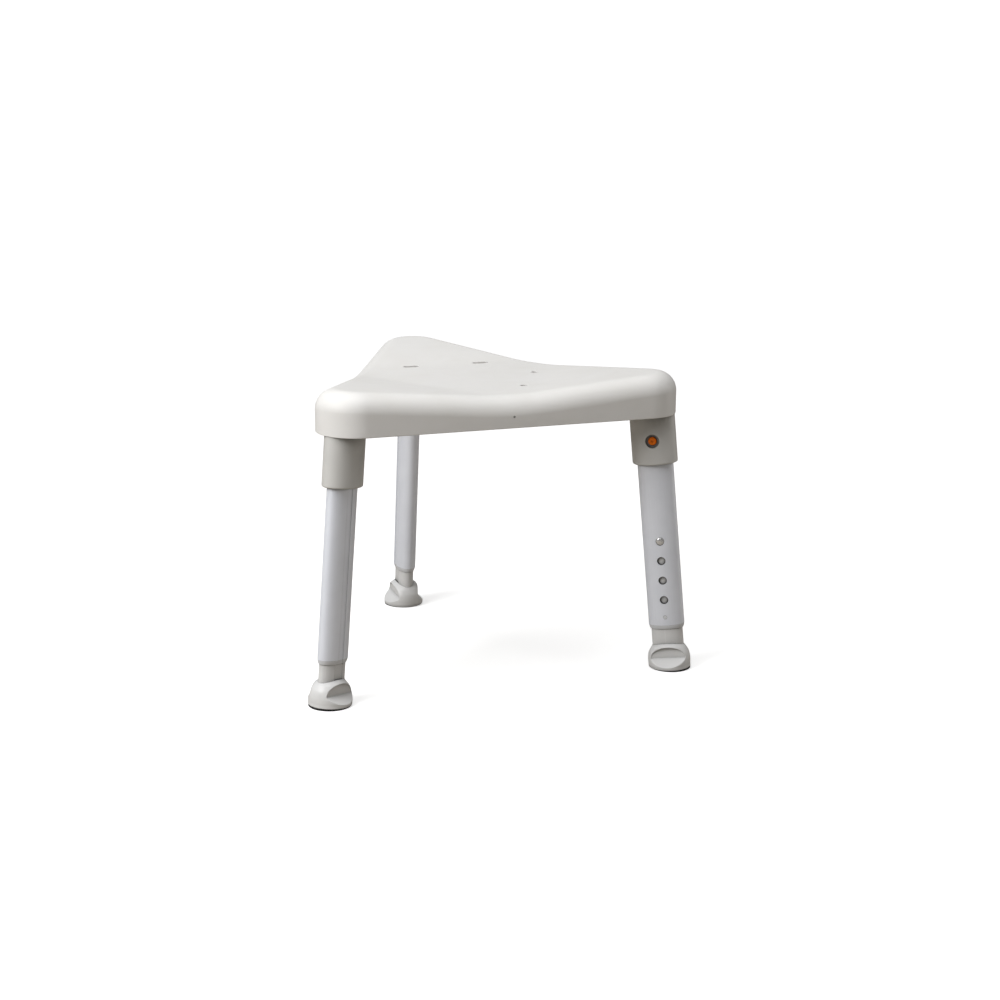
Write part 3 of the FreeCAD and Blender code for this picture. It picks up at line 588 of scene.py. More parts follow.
def metal(name, tone, shine):
    """Bare or plated steel with a fine uneven gloss."""
    material, tree, shader, where = start_material(f"{name}_finish")
    dark = darker(tone, 0.85)
    fine = placed(tree, moulded_grain(), Vector=where, Grain=900, Light=tone, Dark=dark, Shine=shine)
    tree.links.new(fine.outputs["Color"], shader.inputs["Base Color"])
    tree.links.new(fine.outputs["Roughness"], shader.inputs["Roughness"])
    shader.inputs["Metallic"].default_value = 0.75
    raise_surface(tree, shader, fine.outputs["Height"], distance=0.00001)
    return material


def assign(node, material):
    """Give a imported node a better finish."""
    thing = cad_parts[node]
    thing.data.materials.clear()
    thing.data.materials.append(material)


# ---------------------------------------------------------------- seat


# The dish falls off with this power, and the seat's skins have these numbers of rings.
DISH_POWER = 1.5
EDGE_RINGS, TOP_RINGS, UNDERSIDE_RINGS = 24, 66, 24

# The ribs end this far above the skirt's lower edge.
RIB_RECESS = 0.011

# Screw bosses: places in a leg's own plan, outer radius, bore and lower end.
SCREW_SPOTS = ((0.246, 0.035), (0.246, -0.035), (0.204, 0.0))
BOSS_RADIUS, BOSS_BORE, BOSS_LEVEL = 0.005, 0.0016, 0.3811
WEB_INTO_BOSS = 0.003

# The gate mark in the front of the skirt, and its cutter's wider end outside the skirt.
GATE_LEVEL, GATE_RADIUS, GATE_DEPTH = 0.387, 0.0016, 0.001
GATE_MOUTH = ((0.0016, 0.0008), (0.0022, 0.002))


def corner_directions():
    turns = [math.radians(angle) for angle in sorted(LEG_ANGLES.values())]
    return [(math.cos(t), math.sin(t)) for t in turns]


def crown(x, y):
    """Height of the seat's upper surface above the floor."""
    seat = bpy.context.scene.stool_seat
    reach = seat.corner_circle + seat.corner_radius - seat.edge_radius
    half_side = seat.corner_circle / 2 + seat.corner_radius
    slope = seat.corner_rise / (reach - seat.crease_reach)
    height = seat.height - seat.corner_rise
    for cx, cy in corner_directions():
        towards = (x * cx + y * cy - seat.crease_reach) / seat.crease_blend
        bend = max(towards, 0) + math.log1p(math.exp(-abs(towards)))
        height += slope * seat.crease_blend * bend
    spread = min(1.0, (x * x + y * y) / half_side**2)
    return height - seat.dish_depth * (1 - spread) ** DISH_POWER


def crown_slope(x, y, nx, ny):
    step = 0.0005
    rise = crown(x + nx * step, y + ny * step) - crown(x - nx * step, y - ny * step)
    return rise / (2 * step)


def seat_outline(arc_steps=44, side_steps=64):
    """(centre x, centre y, normal x, normal y) of the plan outline. A point at an inset is
    centre + normal * (corner radius - inset)."""
    seat = bpy.context.scene.stool_seat
    spots = []
    angles = sorted(LEG_ANGLES.values())
    centres = [Vector((c[0], c[1])) * seat.corner_circle for c in corner_directions()]
    for n, angle in enumerate(angles):
        for k in range(arc_steps):
            turn = math.radians(angle - 60 + 120 * k / arc_steps)
            spots.append((*centres[n], math.cos(turn), math.sin(turn)))
        turn = math.radians(angle + 60)
        following = centres[(n + 1) % 3]
        for k in range(side_steps):
            middle = centres[n].lerp(following, k / side_steps)
            spots.append((*middle, math.cos(turn), math.sin(turn)))
    return spots


def seat_skin(spots, inset, sunk, edge_radius, ring_count):
    """Rings from the skirt's wall, over the rounded edge, to near the middle."""
    seat = bpy.context.scene.stool_seat
    rings = [[] for _ in range(EDGE_RINGS + 1)]
    last = []
    for cx, cy, nx, ny in spots:
        reach = seat.corner_radius - inset - edge_radius
        x, y = cx + nx * reach, cy + ny * reach
        tilt = math.atan(crown_slope(x, y, nx, ny))
        middle = crown(x, y) - sunk - edge_radius / math.cos(tilt)
        for row in range(EDGE_RINGS + 1):
            turn = (math.pi / 2 + tilt) * row / EDGE_RINGS
            out = reach + edge_radius * math.cos(turn)
            z = middle + edge_radius * math.sin(turn)
            rings[row].append(Vector((cx + nx * out, cy + ny * out, z)))
        last.append(rings[EDGE_RINGS][-1])
    for ring in range(1, ring_count):
        kept = 1 - ring / ring_count
        flat = [(p.x * kept, p.y * kept) for p in last]
        rings.append([Vector((x, y, crown(x, y) - sunk)) for x, y in flat])
    return rings


def skirt_rows(spots, low, wall, soft):
    """Rings around the skirt's lower rim, from the outside to the inside."""
    seat = bpy.context.scene.stool_seat
    rows = [(soft - soft * c, low + soft - soft * s) for c, s in quarter(5)]
    rows += [(wall - soft + soft * c, low + soft - soft * s) for c, s in reversed(quarter(5))]
    rings = []
    for inset, z in rows:
        reach = seat.corner_radius - inset
        rings.append([Vector((cx + nx * reach, cy + ny * reach, z)) for cx, cy, nx, ny in spots])
    return rings


def seat_moulding():
    """The hollow seat, as one closed skin."""
    seat = bpy.context.scene.stool_seat
    spots = seat_outline()
    outer = seat_skin(spots, 0, 0, seat.edge_radius, TOP_RINGS)
    inner = seat_skin(spots, seat.wall, seat.wall, seat.edge_radius - seat.wall, UNDERSIDE_RINGS)
    rim = skirt_rows(spots, seat.skirt_level, seat.wall, seat.rim_softness)
    sheet = bmesh.new()
    solid_between_caps(sheet, list(reversed(outer)) + rim + inner)
    return as_object("seat_shell_moulding", sheet)


def drain_tools():
    """Cutters for the slots and the round holes."""
    seat = bpy.context.scene.stool_seat
    run, radius = seat.slot_length - seat.slot_width, seat.slot_width / 2
    turn = math.radians(LEG_ANGLES["right"])
    tools = []
    for number, sign in enumerate((-1, 1)):
        middle = sign * seat.drain_spacing / 2

        def slot(grow, middle=middle):
            return long_hole(middle, seat.slot_reach, run, radius, grow)

        x = seat.hole_reach * math.cos(turn) - middle * math.sin(turn)
        y = seat.hole_reach * math.sin(turn) + middle * math.cos(turn)

        def hole(grow, x=x, y=y):
            return round_hole(x, y, seat.hole_diameter / 2, grow)

        depth = 3 * seat.wall
        tools.append(flared_tool(f"slot_tool_{number}", slot, depth, seat.opening_softness, crown))
        tools.append(flared_tool(f"hole_tool_{number}", hole, depth, seat.opening_softness, crown))
    return tools


def rib(start, end, rim, turn, low):
    """A web under the seat that ends inside its walls. rim is the reach of the skirt."""
    seat = bpy.context.scene.stool_seat
    sheet = bmesh.new()
    steps = 24
    half = seat.rib_thickness / 2
    soft = seat.rib_thickness / 5
    direction = (math.cos(turn), math.sin(turn))
    bend = seat.edge_radius - seat.wall / 2
    rings = []
    for step in range(steps + 1):
        reach = start + (end - start) * step / steps
        x, y = direction[0] * reach, direction[1] * reach
        flat = min(reach, rim - seat.edge_radius)
        fall = seat.edge_radius - math.sqrt(max(0.0, bend**2 - (reach - flat) ** 2))
        high = crown(direction[0] * flat, direction[1] * flat) - fall
        section = [(-half, high), (-half, low + soft), (-half + soft, low)]
        section += [(half - soft, low), (half, low + soft), (half, high)]
        rings.append([Vector((x - direction[1] * s, y + direction[0] * s, z)) for s, z in section])
    solid_between_caps(sheet, rings)
    return sheet


def screw_places():
    """Where the screws stand in plan, leg by leg."""
    for angle in LEG_ANGLES.values():
        turn = math.radians(angle)
        for x, y in SCREW_SPOTS:
            yield (
                x * math.cos(turn) - y * math.sin(turn),
                x * math.sin(turn) + y * math.cos(turn),
            )


def under_crown(x, y):
    """The middle of the seat's upper wall, also where the edge rounds off."""
    seat = bpy.context.scene.stool_seat
    bend = seat.edge_radius - seat.wall / 2
    over = 0.0
    for cx, cy in corner_directions():
        past = math.hypot(x - cx * seat.corner_circle, y - cy * seat.corner_circle)
        if x * cx + y * cy > seat.corner_circle:
            over = max(over, past - seat.corner_radius + seat.edge_radius)
        across = -(x * cx + y * cy) - seat.corner_circle / 2 - seat.corner_radius
        over = max(over, across + seat.edge_radius)
    return crown(x, y) - seat.edge_radius + math.sqrt(max(0.0, bend**2 - over**2))


def pipe(x, y, radius, bore, low, count=48):
    """A round rib or boss that ends inside the seat's upper wall."""
    soft = 0.0005
    wall = radius - bore
    rows = [(0, None), (0, low + soft), (soft, low)]
    rows += [(wall - soft, low), (wall, low + soft), (wall, None)]
    sheet = bmesh.new()
    rings = []
    for inset, level in rows:
        spots = round_hole(x, y, radius - inset, 0, count)
        levels = [under_crown(px, py) if level is None else level for px, py in spots]
        rings.append(at_levels(spots, levels))
    closed_skin(sheet, rings)
    return sheet


def seat_ribs():
    """Webs, the round rib and the screw bosses, each a closed solid."""
    seat = bpy.context.scene.stool_seat
    low = seat.skirt_level + RIB_RECESS
    half_side = seat.corner_circle / 2 + seat.corner_radius
    corner = seat.corner_circle + seat.corner_radius
    start = seat.hub_radius - seat.rib_thickness / 2
    bore = seat.hub_radius - seat.rib_thickness
    things = [as_object("hub", pipe(0, 0, seat.hub_radius, bore, low))]
    for number, angle in enumerate(LEG_ANGLES.values()):
        for kind, turn, end, rim in (
            ("corner", angle, SCREW_SPOTS[2][0] - WEB_INTO_BOSS, corner),
            ("side", angle + 60, half_side - seat.wall / 2, half_side),
        ):
            web = rib(start, end, rim, math.radians(turn), low)
            things.append(as_object(f"{kind}_web_{number}", web))
    for number, (x, y) in enumerate(screw_places()):
        boss = pipe(x, y, BOSS_RADIUS, BOSS_BORE, BOSS_LEVEL, 24)
        things.append(as_object(f"boss_{number}", boss))
    return things


class STOOL_OT_seat(bpy.types.Operator):
    """Build the seat: a hollow dished moulding with drain slots, drain holes and ribs"""

    bl_idname = "stool.seat"
    bl_label = "Seat"

    def execute(self, context):
        seat = context.scene.stool_seat
        # Its default reach and kept paint shade into the drain openings and the gate mark.
        finish = plastic("seat_plastic", seat.light, seat.dark, 0.47, grain=1300, specular=0.38)
        shell = seat_moulding()
        ribs = seat_ribs()
        combine(ribs[0], ribs[1:], "UNION")
        combine(shell, [ribs[0]], "UNION")
        gate = bmesh.new()
        lathe(gate, ((GATE_RADIUS, -GATE_DEPTH), *GATE_MOUTH), 32)
        half_side = seat.corner_circle / 2 + seat.corner_radius
        front = Matrix.Translation((0, -half_side, GATE_LEVEL))
        gate_tool = as_object("gate_tool", gate, front @ Matrix.Rotation(math.radians(90), 4, "X"))
        combine(shell, [*drain_tools(), gate_tool], "DIFFERENCE")
        dress(shell, "seat", finish, "seat_shell")
        return {"FINISHED"}


# ---------------------------------------------------------------- sockets and tubes


class STOOL_OT_sockets(bpy.types.Operator):
    """Finish the collars that hold the legs under the seat"""

    bl_idname = "stool.sockets"
    bl_label = "Sockets"

    def execute(self, context):
        tone = context.scene.stool_fittings.collar
        # reach and kept paint the seat's shadow on the collars' tops and shade in the buttons' recesses.
        finish = plastic("socket_plastic", tone, shine=0.42, reach=0.028, kept=0.30)
        for side in LEG_ANGLES:
            assign(f"{side}_socket", finish)
        return {"FINISHED"}


# The soft rim of a tube's ends, the button's hole in it and the small hole for the bush's peg.
TUBE_RIM = 0.0003
RELEASE_HOLE = 0.0125
PEG_HOLE, PEG_LEVEL = 0.0058, 0.0775

# A hole in a leg is cut between these distances from the leg's axis.
BORE_START, BORE_END = 0.006, 0.02


def tube_outline(inset):
    legs = bpy.context.scene.stool_legs
    return channelled_oval(
        legs.tube_half_depth - inset,
        legs.tube_half_width - inset,
        legs.channel_width / 2 + inset,
        legs.tube_half_width - legs.channel_depth - inset,
    )


def side_bore(name, diameter, side, level):
    """A round cutter that enters a leg from the side with the holes."""
    sheet = bmesh.new()
    lathe(sheet, ((diameter / 2, BORE_START), (diameter / 2, BORE_END)), 56)
    return as_object(name, sheet, facing_out(side, level))


def wall_rings(outline, rows):
    """Rings around the section of a hollow leg piece."""
    outlines = {inset: outline(inset) for inset in {inset for inset, _ in rows}}
    return [at_level(outlines[inset], z) for inset, z in rows]


class STOOL_OT_tubes(bpy.types.Operator):
    """Build the oval aluminium tubes with their channel and height holes"""

    bl_idname = "stool.tubes"
    bl_label = "Tubes"

    def execute(self, context):
        legs = context.scene.stool_legs
        for side in LEG_ANGLES:
            sheet = bmesh.new()
            rows = wall_rows(legs.tube_bottom, legs.tube_top, legs.tube_wall, TUBE_RIM)
            closed_skin(sheet, wall_rings(tube_outline, rows))
            tube = as_object(f"{side}_tube", sheet, leg_place(side))
            levels = [(legs.snap_level - n * legs.height_pitch, legs.height_hole) for n in range(4)]
            levels += [(legs.release_level, RELEASE_HOLE), (PEG_LEVEL, PEG_HOLE)]
            tools = [
                side_bore(f"bore_{n}", wide, side, level) for n, (level, wide) in enumerate(levels)
            ]
            combine(tube, tools, "DIFFERENCE")
            dress(tube, f"{side}_leg", anodised(side), f"{side}_leg_tube")
        return {"FINISHED"}


# A bush's lower face and the top of its sleeve, its gap to the inner leg, and how much wider and
# deeper its own bump is than the tube's channel. Then the peg's radius, root and rounding.
BUSH_LOW, BUSH_TOP = 0.059, 0.0878
BUSH_GAP, BUMP_WIDER, BUMP_DEEPER = 0.0003, 0.0022, 0.0021
PEG_RADIUS, PEG_START, PEG_SOFTNESS = 0.0028, 0.0138, 0.0003


class STOOL_OT_bushes(bpy.types.Operator):
    """Build the guide bushes in the tubes' lower ends"""

    bl_idname = "stool.bushes"
    bl_label = "Guide bushes"

    def execute(self, context):
        legs = context.scene.stool_legs
        finish = plastic("bush_plastic", context.scene.stool_fittings.bush, shine=0.40)
        low, high = BUSH_LOW, legs.tube_bottom - 0.0001
        inner = (legs.inner_half_depth + BUSH_GAP, legs.inner_half_width + BUSH_GAP)
        bump = legs.tube_half_width - legs.channel_depth - BUMP_DEEPER
        opening = channelled_oval(*inner, legs.channel_width / 2 + BUMP_WIDER, bump)
        reach = legs.tube_half_width - 0.0001
        # (inset from the tube's outside, height): the collar's rounded side, then the sleeve
        rows = [(0.0026, low), (0.0019, low + 0.0002), (0.0014, low + 0.0009)]
        rows += [(0.0010, low + 0.0022), (0.0004, high - 0.0016), (0.0001, high - 0.0004)]
        rows += [(0.0002, high), (0.0016, high), (0.0016, BUSH_TOP)]
        peg_rows = [(PEG_RADIUS, PEG_START), (PEG_RADIUS, reach - PEG_SOFTNESS)]
        peg_rows.append((PEG_RADIUS - PEG_SOFTNESS, reach))
        for side in LEG_ANGLES:
            sheet = bmesh.new()
            rings = wall_rings(tube_outline, rows)
            rings += [at_level(opening, z) for z in (BUSH_TOP, low)]
            closed_skin(sheet, rings)
            bush = as_object(f"{side}_bush", sheet, leg_place(side))
            peg = bmesh.new()
            lathe(peg, peg_rows, 40)
            combine(bush, [as_object("peg", peg, facing_out(side, PEG_LEVEL))], "UNION")
            dress(bush, f"{side}_leg", finish, f"{side}_guide_bush")
        return {"FINISHED"}


# ---------------------------------------------------------------- inner legs and feet


# An inner leg's ends, wall and rim, and how much wider each side of its channel is than the tube's.
INNER_LOW, INNER_HIGH = 0.0137, 0.232
INNER_WALL, INNER_RIM = 0.0026, 0.0004
CHANNEL_WIDER = 0.0028


def inner_outline(inset):
    legs = bpy.context.scene.stool_legs
    return channelled_oval(
        legs.inner_half_depth - inset,
        legs.inner_half_width - inset,
        legs.channel_width / 2 + CHANNEL_WIDER,
        legs.inner_half_width - (legs.channel_depth if inset < INNER_WALL / 2 else inset),
    )


class STOOL_OT_inner_legs(bpy.types.Operator):
    """Build the plastic inner legs that carry the feet"""

    bl_idname = "stool.inner_legs"
    bl_label = "Inner legs"

    def execute(self, context):
        legs = context.scene.stool_legs
        tone = context.scene.stool_fittings.foot
        # reach and kept paint deep shade on the inner legs inside the tubes, seen through the height holes.
        finish = plastic("leg_plastic", tone, shine=0.42, reach=0.014, kept=0.0)
        rows = wall_rows(INNER_LOW, INNER_HIGH, INNER_WALL, INNER_RIM)
        for side in LEG_ANGLES:
            sheet = bmesh.new()
            closed_skin(sheet, wall_rings(inner_outline, rows))
            inner = as_object(f"{side}_neck", sheet, leg_place(side))
            bore = side_bore("snap_bore", legs.height_hole, side, legs.snap_level)
            combine(inner, [bore], "DIFFERENCE")
            dress(inner, f"{side}_extension", finish, f"{side}_inner_leg")
        return {"FINISHED"}


FOOT_SHAPE = (
    # share of the height, share of the way from the rim to the base (depth, width), bulge
    (0.00, 1.00, 1.00, 0.0),
    (0.14, 1.00, 1.00, 0.8),
    (0.34, 0.99, 0.94, 1.0),
    (0.62, 0.84, 0.72, 0.6),
    (0.84, 0.42, 0.46, 0.2),
    (0.94, 0.13, 0.20, 0.0),
    (1.00, 0.00, 0.03, 0.0),
)


# A foot: its base's radius, the rim around the inner leg, its bulge, the level of its base and
# of its brim, and how far the brim sinks towards the narrow sides.
FOOT_RADIUS, FOOT_RIM, FOOT_BULGE = 0.0299, 0.0005, 0.0005
FOOT_BASE, FOOT_BRIM, BRIM_SAG = 0.004, 0.0374, 0.004
FOOT_POINTS, FOOT_RINGS = 224, 90

# The thumb scoops: the ledge's level and slope, half of the length, the arch's height, the flat
# back's distance from the axis, the brow's depth, and the shares of the arch where it starts and
# over which it comes out.
SCOOP_LEDGE, LEDGE_SLOPE, SCOOP_HALF_LENGTH = 0.0168, 1.45, 0.027
SCOOP_RISE, SCOOP_BACK, SCOOP_SOFTNESS = 0.0172, 0.01455, 0.0004
BROW_DEPTH, BROW_START, BROW_RUN = 0.014, 0.78, 0.34

# The recess for the sole, the well for the inner leg, and the lip that hangs over the sole: its
# level at the axis, its slope as a share of the lean, its least length and its (radius, rise) rows.
# The side starts at the first ring that is clear of the lip.
RECESS_RADIUS, RECESS_TOP = 0.0226, 0.0091
WELL_GAP, WELL_FLOOR = 0.0001, 0.0135
LIP_LEVEL, LIP_SLOPE, LIP_SHORTEST = 0.0020, 0.46, 0.0002
LIP_ROWS = ((0.0296, 0), (0.0297, -0.0001), (0.0299, 0.0001), (0.02995, 0.0005))
FIRST_RING = 3

# (shrink, drop) rows that round the brim off, down into the well.
BRIM_ROWS = ((0.0001, 0.0003), (0.0004, 0.0), (0.0008, 0.0))


def smooth_through(rows, position, column):
    """A smooth value at position through rows sorted by their first column."""
    last = len(rows) - 1
    n = max(k for k in range(last) if rows[k][0] <= position or k == 0)
    x0, x1 = rows[n][0], rows[n + 1][0]

    def slope(k):
        low, high = max(k - 1, 0), min(k + 1, last)
        return (rows[high][column] - rows[low][column]) / (rows[high][0] - rows[low][0])

    t, span = (position - x0) / (x1 - x0), x1 - x0
    return (
        (2 * t**3 - 3 * t**2 + 1) * rows[n][column]
        + (t**3 - 2 * t**2 + t) * span * slope(n)
        + (3 * t**2 - 2 * t**3) * rows[n + 1][column]
        + (t**3 - t**2) * span * slope(n + 1)
    )


def foot_halves(rise):
    """A foot's half depth and half width at a share of its height."""
    legs = bpy.context.scene.stool_legs
    swell = smooth_through(FOOT_SHAPE, rise, 3)
    halves = []
    for column, inner in ((1, legs.inner_half_depth), (2, legs.inner_half_width)):
        half = inner + FOOT_RIM
        part = smooth_through(FOOT_SHAPE, rise, column)
        halves.append(half + part * (FOOT_RADIUS - half) + swell * FOOT_BULGE)
    return halves


def scooped(x, y, z):
    """A point of the foot's side, moved in where the thumb scoop is: a flat back under an
    arched brow, with a ledge that slopes out below it."""
    floor = max(0.0, SCOOP_LEDGE - z) * LEDGE_SLOPE
    arch = (x / SCOOP_HALF_LENGTH) ** 2 + (max(0.0, z - SCOOP_LEDGE) / SCOOP_RISE) ** 2
    brow = BROW_DEPTH * smooth_step((arch - BROW_START) / BROW_RUN)
    return math.copysign(soft_min(abs(y), SCOOP_BACK + floor + brow, SCOOP_SOFTNESS), y)


class STOOL_OT_feet(bpy.types.Operator):
    """Build the flared feet with a thumb scoop on both broad sides"""

    bl_idname = "stool.feet"
    bl_label = "Feet"

    def execute(self, context):
        legs = context.scene.stool_legs
        tone = context.scene.stool_fittings.foot
        finish = plastic("foot_plastic", tone, shine=0.42, reach=0.006, kept=0.45)
        turns = [math.tau * k / FOOT_POINTS for k in range(FOOT_POINTS)]
        brims = [FOOT_BRIM - BRIM_SAG * math.cos(turn) ** 2 for turn in turns]
        slope = LIP_SLOPE * math.tan(legs.splay)
        recess = oval(RECESS_RADIUS, RECESS_RADIUS, FOOT_POINTS)
        ledge = oval(LIP_ROWS[0][0], LIP_ROWS[0][0], FOOT_POINTS)
        rings = [at_level(recess, RECESS_TOP), at_level(recess, FOOT_BASE)]
        rings.append(at_level(ledge, FOOT_BASE))
        for radius, rise in LIP_ROWS:
            spots = oval(radius, radius, FOOT_POINTS)
            lip = [min(FOOT_BASE - LIP_SHORTEST, LIP_LEVEL - x * slope) for x, y in spots]
            rings.append(at_levels(spots, lip, rise))
        for ring in range(FIRST_RING, FOOT_RINGS):
            rise = ring / FOOT_RINGS
            levels = [FOOT_BASE + rise * (brim - FOOT_BASE) for brim in brims]
            around = zip(oval(*foot_halves(rise), FOOT_POINTS), levels)
            rings.append([Vector((x, scooped(x, y, z), z)) for (x, y), z in around])
        halves = foot_halves(1)
        for shrink, drop in BRIM_ROWS:
            spots = oval(halves[0] - shrink, halves[1] - shrink, FOOT_POINTS)
            rings.append(at_levels(spots, brims, -drop))
        halves = (legs.inner_half_depth + WELL_GAP, legs.inner_half_width + WELL_GAP)
        well = oval(*halves, FOOT_POINTS)
        rings += [at_levels(well, brims, -BRIM_ROWS[0][1]), at_level(well, WELL_FLOOR)]
        for side in LEG_ANGLES:
            sheet = bmesh.new()
            solid_between_caps(sheet, rings)
            foot = as_object(f"{side}_flared_foot", sheet, leg_place(side))
            dress(foot, f"{side}_extension", finish, f"{side}_foot")
        return {"FINISHED"}


# A sole: its plug in the foot's recess, its own edge as (radius, height) under the foot and
# above the floor, and its tread's rings with the width and depth of their grooves.
SOLE_PLUG, PLUG_TOP = 0.0225, 0.0088
SOLE_UPPER = ((0.0225, 0.004), (0.0291, 0.004), (0.0295, 0.0036))
SOLE_LOWER = ((0.0295, 0.0007), (0.0293, 0.0003), (0.0288, 0.0))
TREAD_RINGS = (0.0255, 0.0172, 0.0090)
GROOVE_WIDTH, GROOVE_DEPTH, GROOVE_DRAFT = 0.0024, 0.0006, 0.0004
SOLE_POINTS = 128


class STOOL_OT_soles(bpy.types.Operator):
    """Build the rubber wedges under the feet"""

    bl_idname = "stool.soles"
    bl_label = "Soles"

    def execute(self, context):
        legs = context.scene.stool_legs
        tone = context.scene.stool_fittings.rubber
        finish = plastic("black_rubber", tone, shine=0.62, grain=900, depth=0.00008, specular=0.3)
        lean = math.tan(legs.splay)
        tread = list(SOLE_LOWER)
        for edge in TREAD_RINGS:
            tread += [(edge, 0), (edge - GROOVE_DRAFT, GROOVE_DEPTH)]
            tread += [(edge - GROOVE_WIDTH + GROOVE_DRAFT, GROOVE_DEPTH), (edge - GROOVE_WIDTH, 0)]
        rings = []
        for radius, z in ((SOLE_PLUG, PLUG_TOP), *SOLE_UPPER):
            rings.append(at_level(oval(radius, radius, SOLE_POINTS), z))
        for radius, rise in tread:
            spots = oval(radius, radius, SOLE_POINTS)
            rings.append(at_levels(spots, [rise - x * lean for x, y in spots]))
        for side in LEG_ANGLES:
            sheet = bmesh.new()
            solid_between_caps(sheet, rings)
            sole = as_object(f"{side}_sole_wedge", sheet, leg_place(side))
            dress(sole, f"{side}_extension", finish, f"{side}_foot_sole")
        return {"FINISHED"}


# ---------------------------------------------------------------- buttons, springs and screws


# (radius, distance from the leg's axis) rows of the buttons: a collar behind the tube's wall,
# then the stem, and at the end a rounded face or a dome.
RELEASE_COLLAR = ((0.0074, 0.0111), (0.0074, 0.0125), (0.0070, 0.0129), (0.006, 0.0129))
RELEASE_FACE = ((0.0030, 0.0215), (0.0018, 0.0214), (0.0015, 0.0212), (0.0012, 0.0208), (0.0006, 0.0206))
RELEASE_RADIUS, RELEASE_REACH, RELEASE_EDGE = 0.006, 0.0203, 0.0011
SNAP_COLLAR = ((0.0070, 0.0074), (0.0070, 0.0084), (0.0068, 0.0086), (0.0056, 0.0086))
SNAP_RADIUS, SNAP_REACH, SNAP_DOME = 0.0056, 0.0146, 0.0020


class STOOL_OT_release_buttons(bpy.types.Operator):
    """Build the orange buttons that lock the legs into the collars"""

    bl_idname = "stool.release_buttons"
    bl_label = "Release buttons"

    def execute(self, context):
        legs = context.scene.stool_legs
        tone = context.scene.stool_fittings.button
        gloss = {"shine": 0.36, "grain": 1800, "depth": 0.00001, "specular": 0.2}
        finish = plastic("orange_plastic", tone, darker(tone, 0.85), reach=0.005, **gloss)
        flat, edge = RELEASE_RADIUS - RELEASE_EDGE, RELEASE_EDGE
        rows = [*RELEASE_COLLAR, (RELEASE_RADIUS, RELEASE_REACH)]
        rows += [(flat + edge * c, RELEASE_REACH + edge * s) for c, s in quarter(4)]
        rows += RELEASE_FACE
        for side in LEG_ANGLES:
            sheet = bmesh.new()
            lathe(sheet, rows, 72)
            button = as_object(f"{side}_orange_button", sheet, facing_out(side, legs.release_level))
            dress(button, f"{side}_release", finish, f"{side}_release_button")
        return {"FINISHED"}


class STOOL_OT_snap_buttons(bpy.types.Operator):
    """Build the domed metal buttons that set the height"""

    bl_idname = "stool.snap_buttons"
    bl_label = "Snap buttons"

    def execute(self, context):
        legs = context.scene.stool_legs
        finish = metal("button_steel", context.scene.stool_fittings.steel, 0.3)
        dome = [(math.cos(turn), math.sin(turn)) for turn in map(math.radians, range(10, 90, 10))]
        rows = [*SNAP_COLLAR, (SNAP_RADIUS, SNAP_REACH)]
        rows += [(SNAP_RADIUS * c, SNAP_REACH + SNAP_DOME * s) for c, s in dome]
        for side in LEG_ANGLES:
            sheet = bmesh.new()
            lathe(sheet, rows, 72)
            button = as_object(f"{side}_metal_button", sheet, facing_out(side, legs.snap_level))
            dress(button, f"{side}_snap", finish, f"{side}_snap_button")
        return {"FINISHED"}


class STOOL_OT_hardware(bpy.types.Operator):
    """Finish the springs, the tube caps and the screws"""

    bl_idname = "stool.hardware"
    bl_label = "Springs, caps and screws"

    def execute(self, context):
        fittings = context.scene.stool_fittings
        assign("socket_screws", metal("screw_steel", fittings.steel, 0.3))
        spring = metal("spring_steel", darker(fittings.steel, 0.7), 0.34)
        cap_finish = plastic("cap_plastic", darker(fittings.foot, 0.8))
        for side in LEG_ANGLES:
            assign(f"{side}_release_spring", spring)
            assign(f"{side}_snap_spring", spring)
            assign(f"{side}_tube_cap", cap_finish)
        return {"FINISHED"}


# ---------------------------------------------------------------- stage


def soft_light(name, place, target, size, power, tone):
    lamp = bpy.data.lights.new(name, "AREA")
    lamp.shape = "RECTANGLE"
    lamp.size, lamp.size_y = size
    lamp.energy = power
    lamp.color = tone
    thing = bpy.data.objects.new(name, lamp)
    thing.location = place
    thing.rotation_euler = (Vector(target) - Vector(place)).to_track_quat("-Z", "Y").to_euler()
    bpy.context.scene.collection.objects.link(thing)


FLOOR_RADIUS, FLOOR_TOP, FLOOR_BOTTOM = 120, -0.0002, -0.02

# The floor's glow grows between these distances from the stool.
GLOW_START, GLOW_END = 0.9, 4.5

# Where the camera stands, its heading, how far it looks down, its roll and its lens.
CAMERA_PLACE = (-1.0773, -2.8869, 0.9662)
CAMERA_HEADING, CAMERA_DIP = math.radians(-21.292), math.radians(13.384)
CAMERA_ROLL = 0.00849
CAMERA_LENS, SENSOR_WIDTH = 79.396, 36


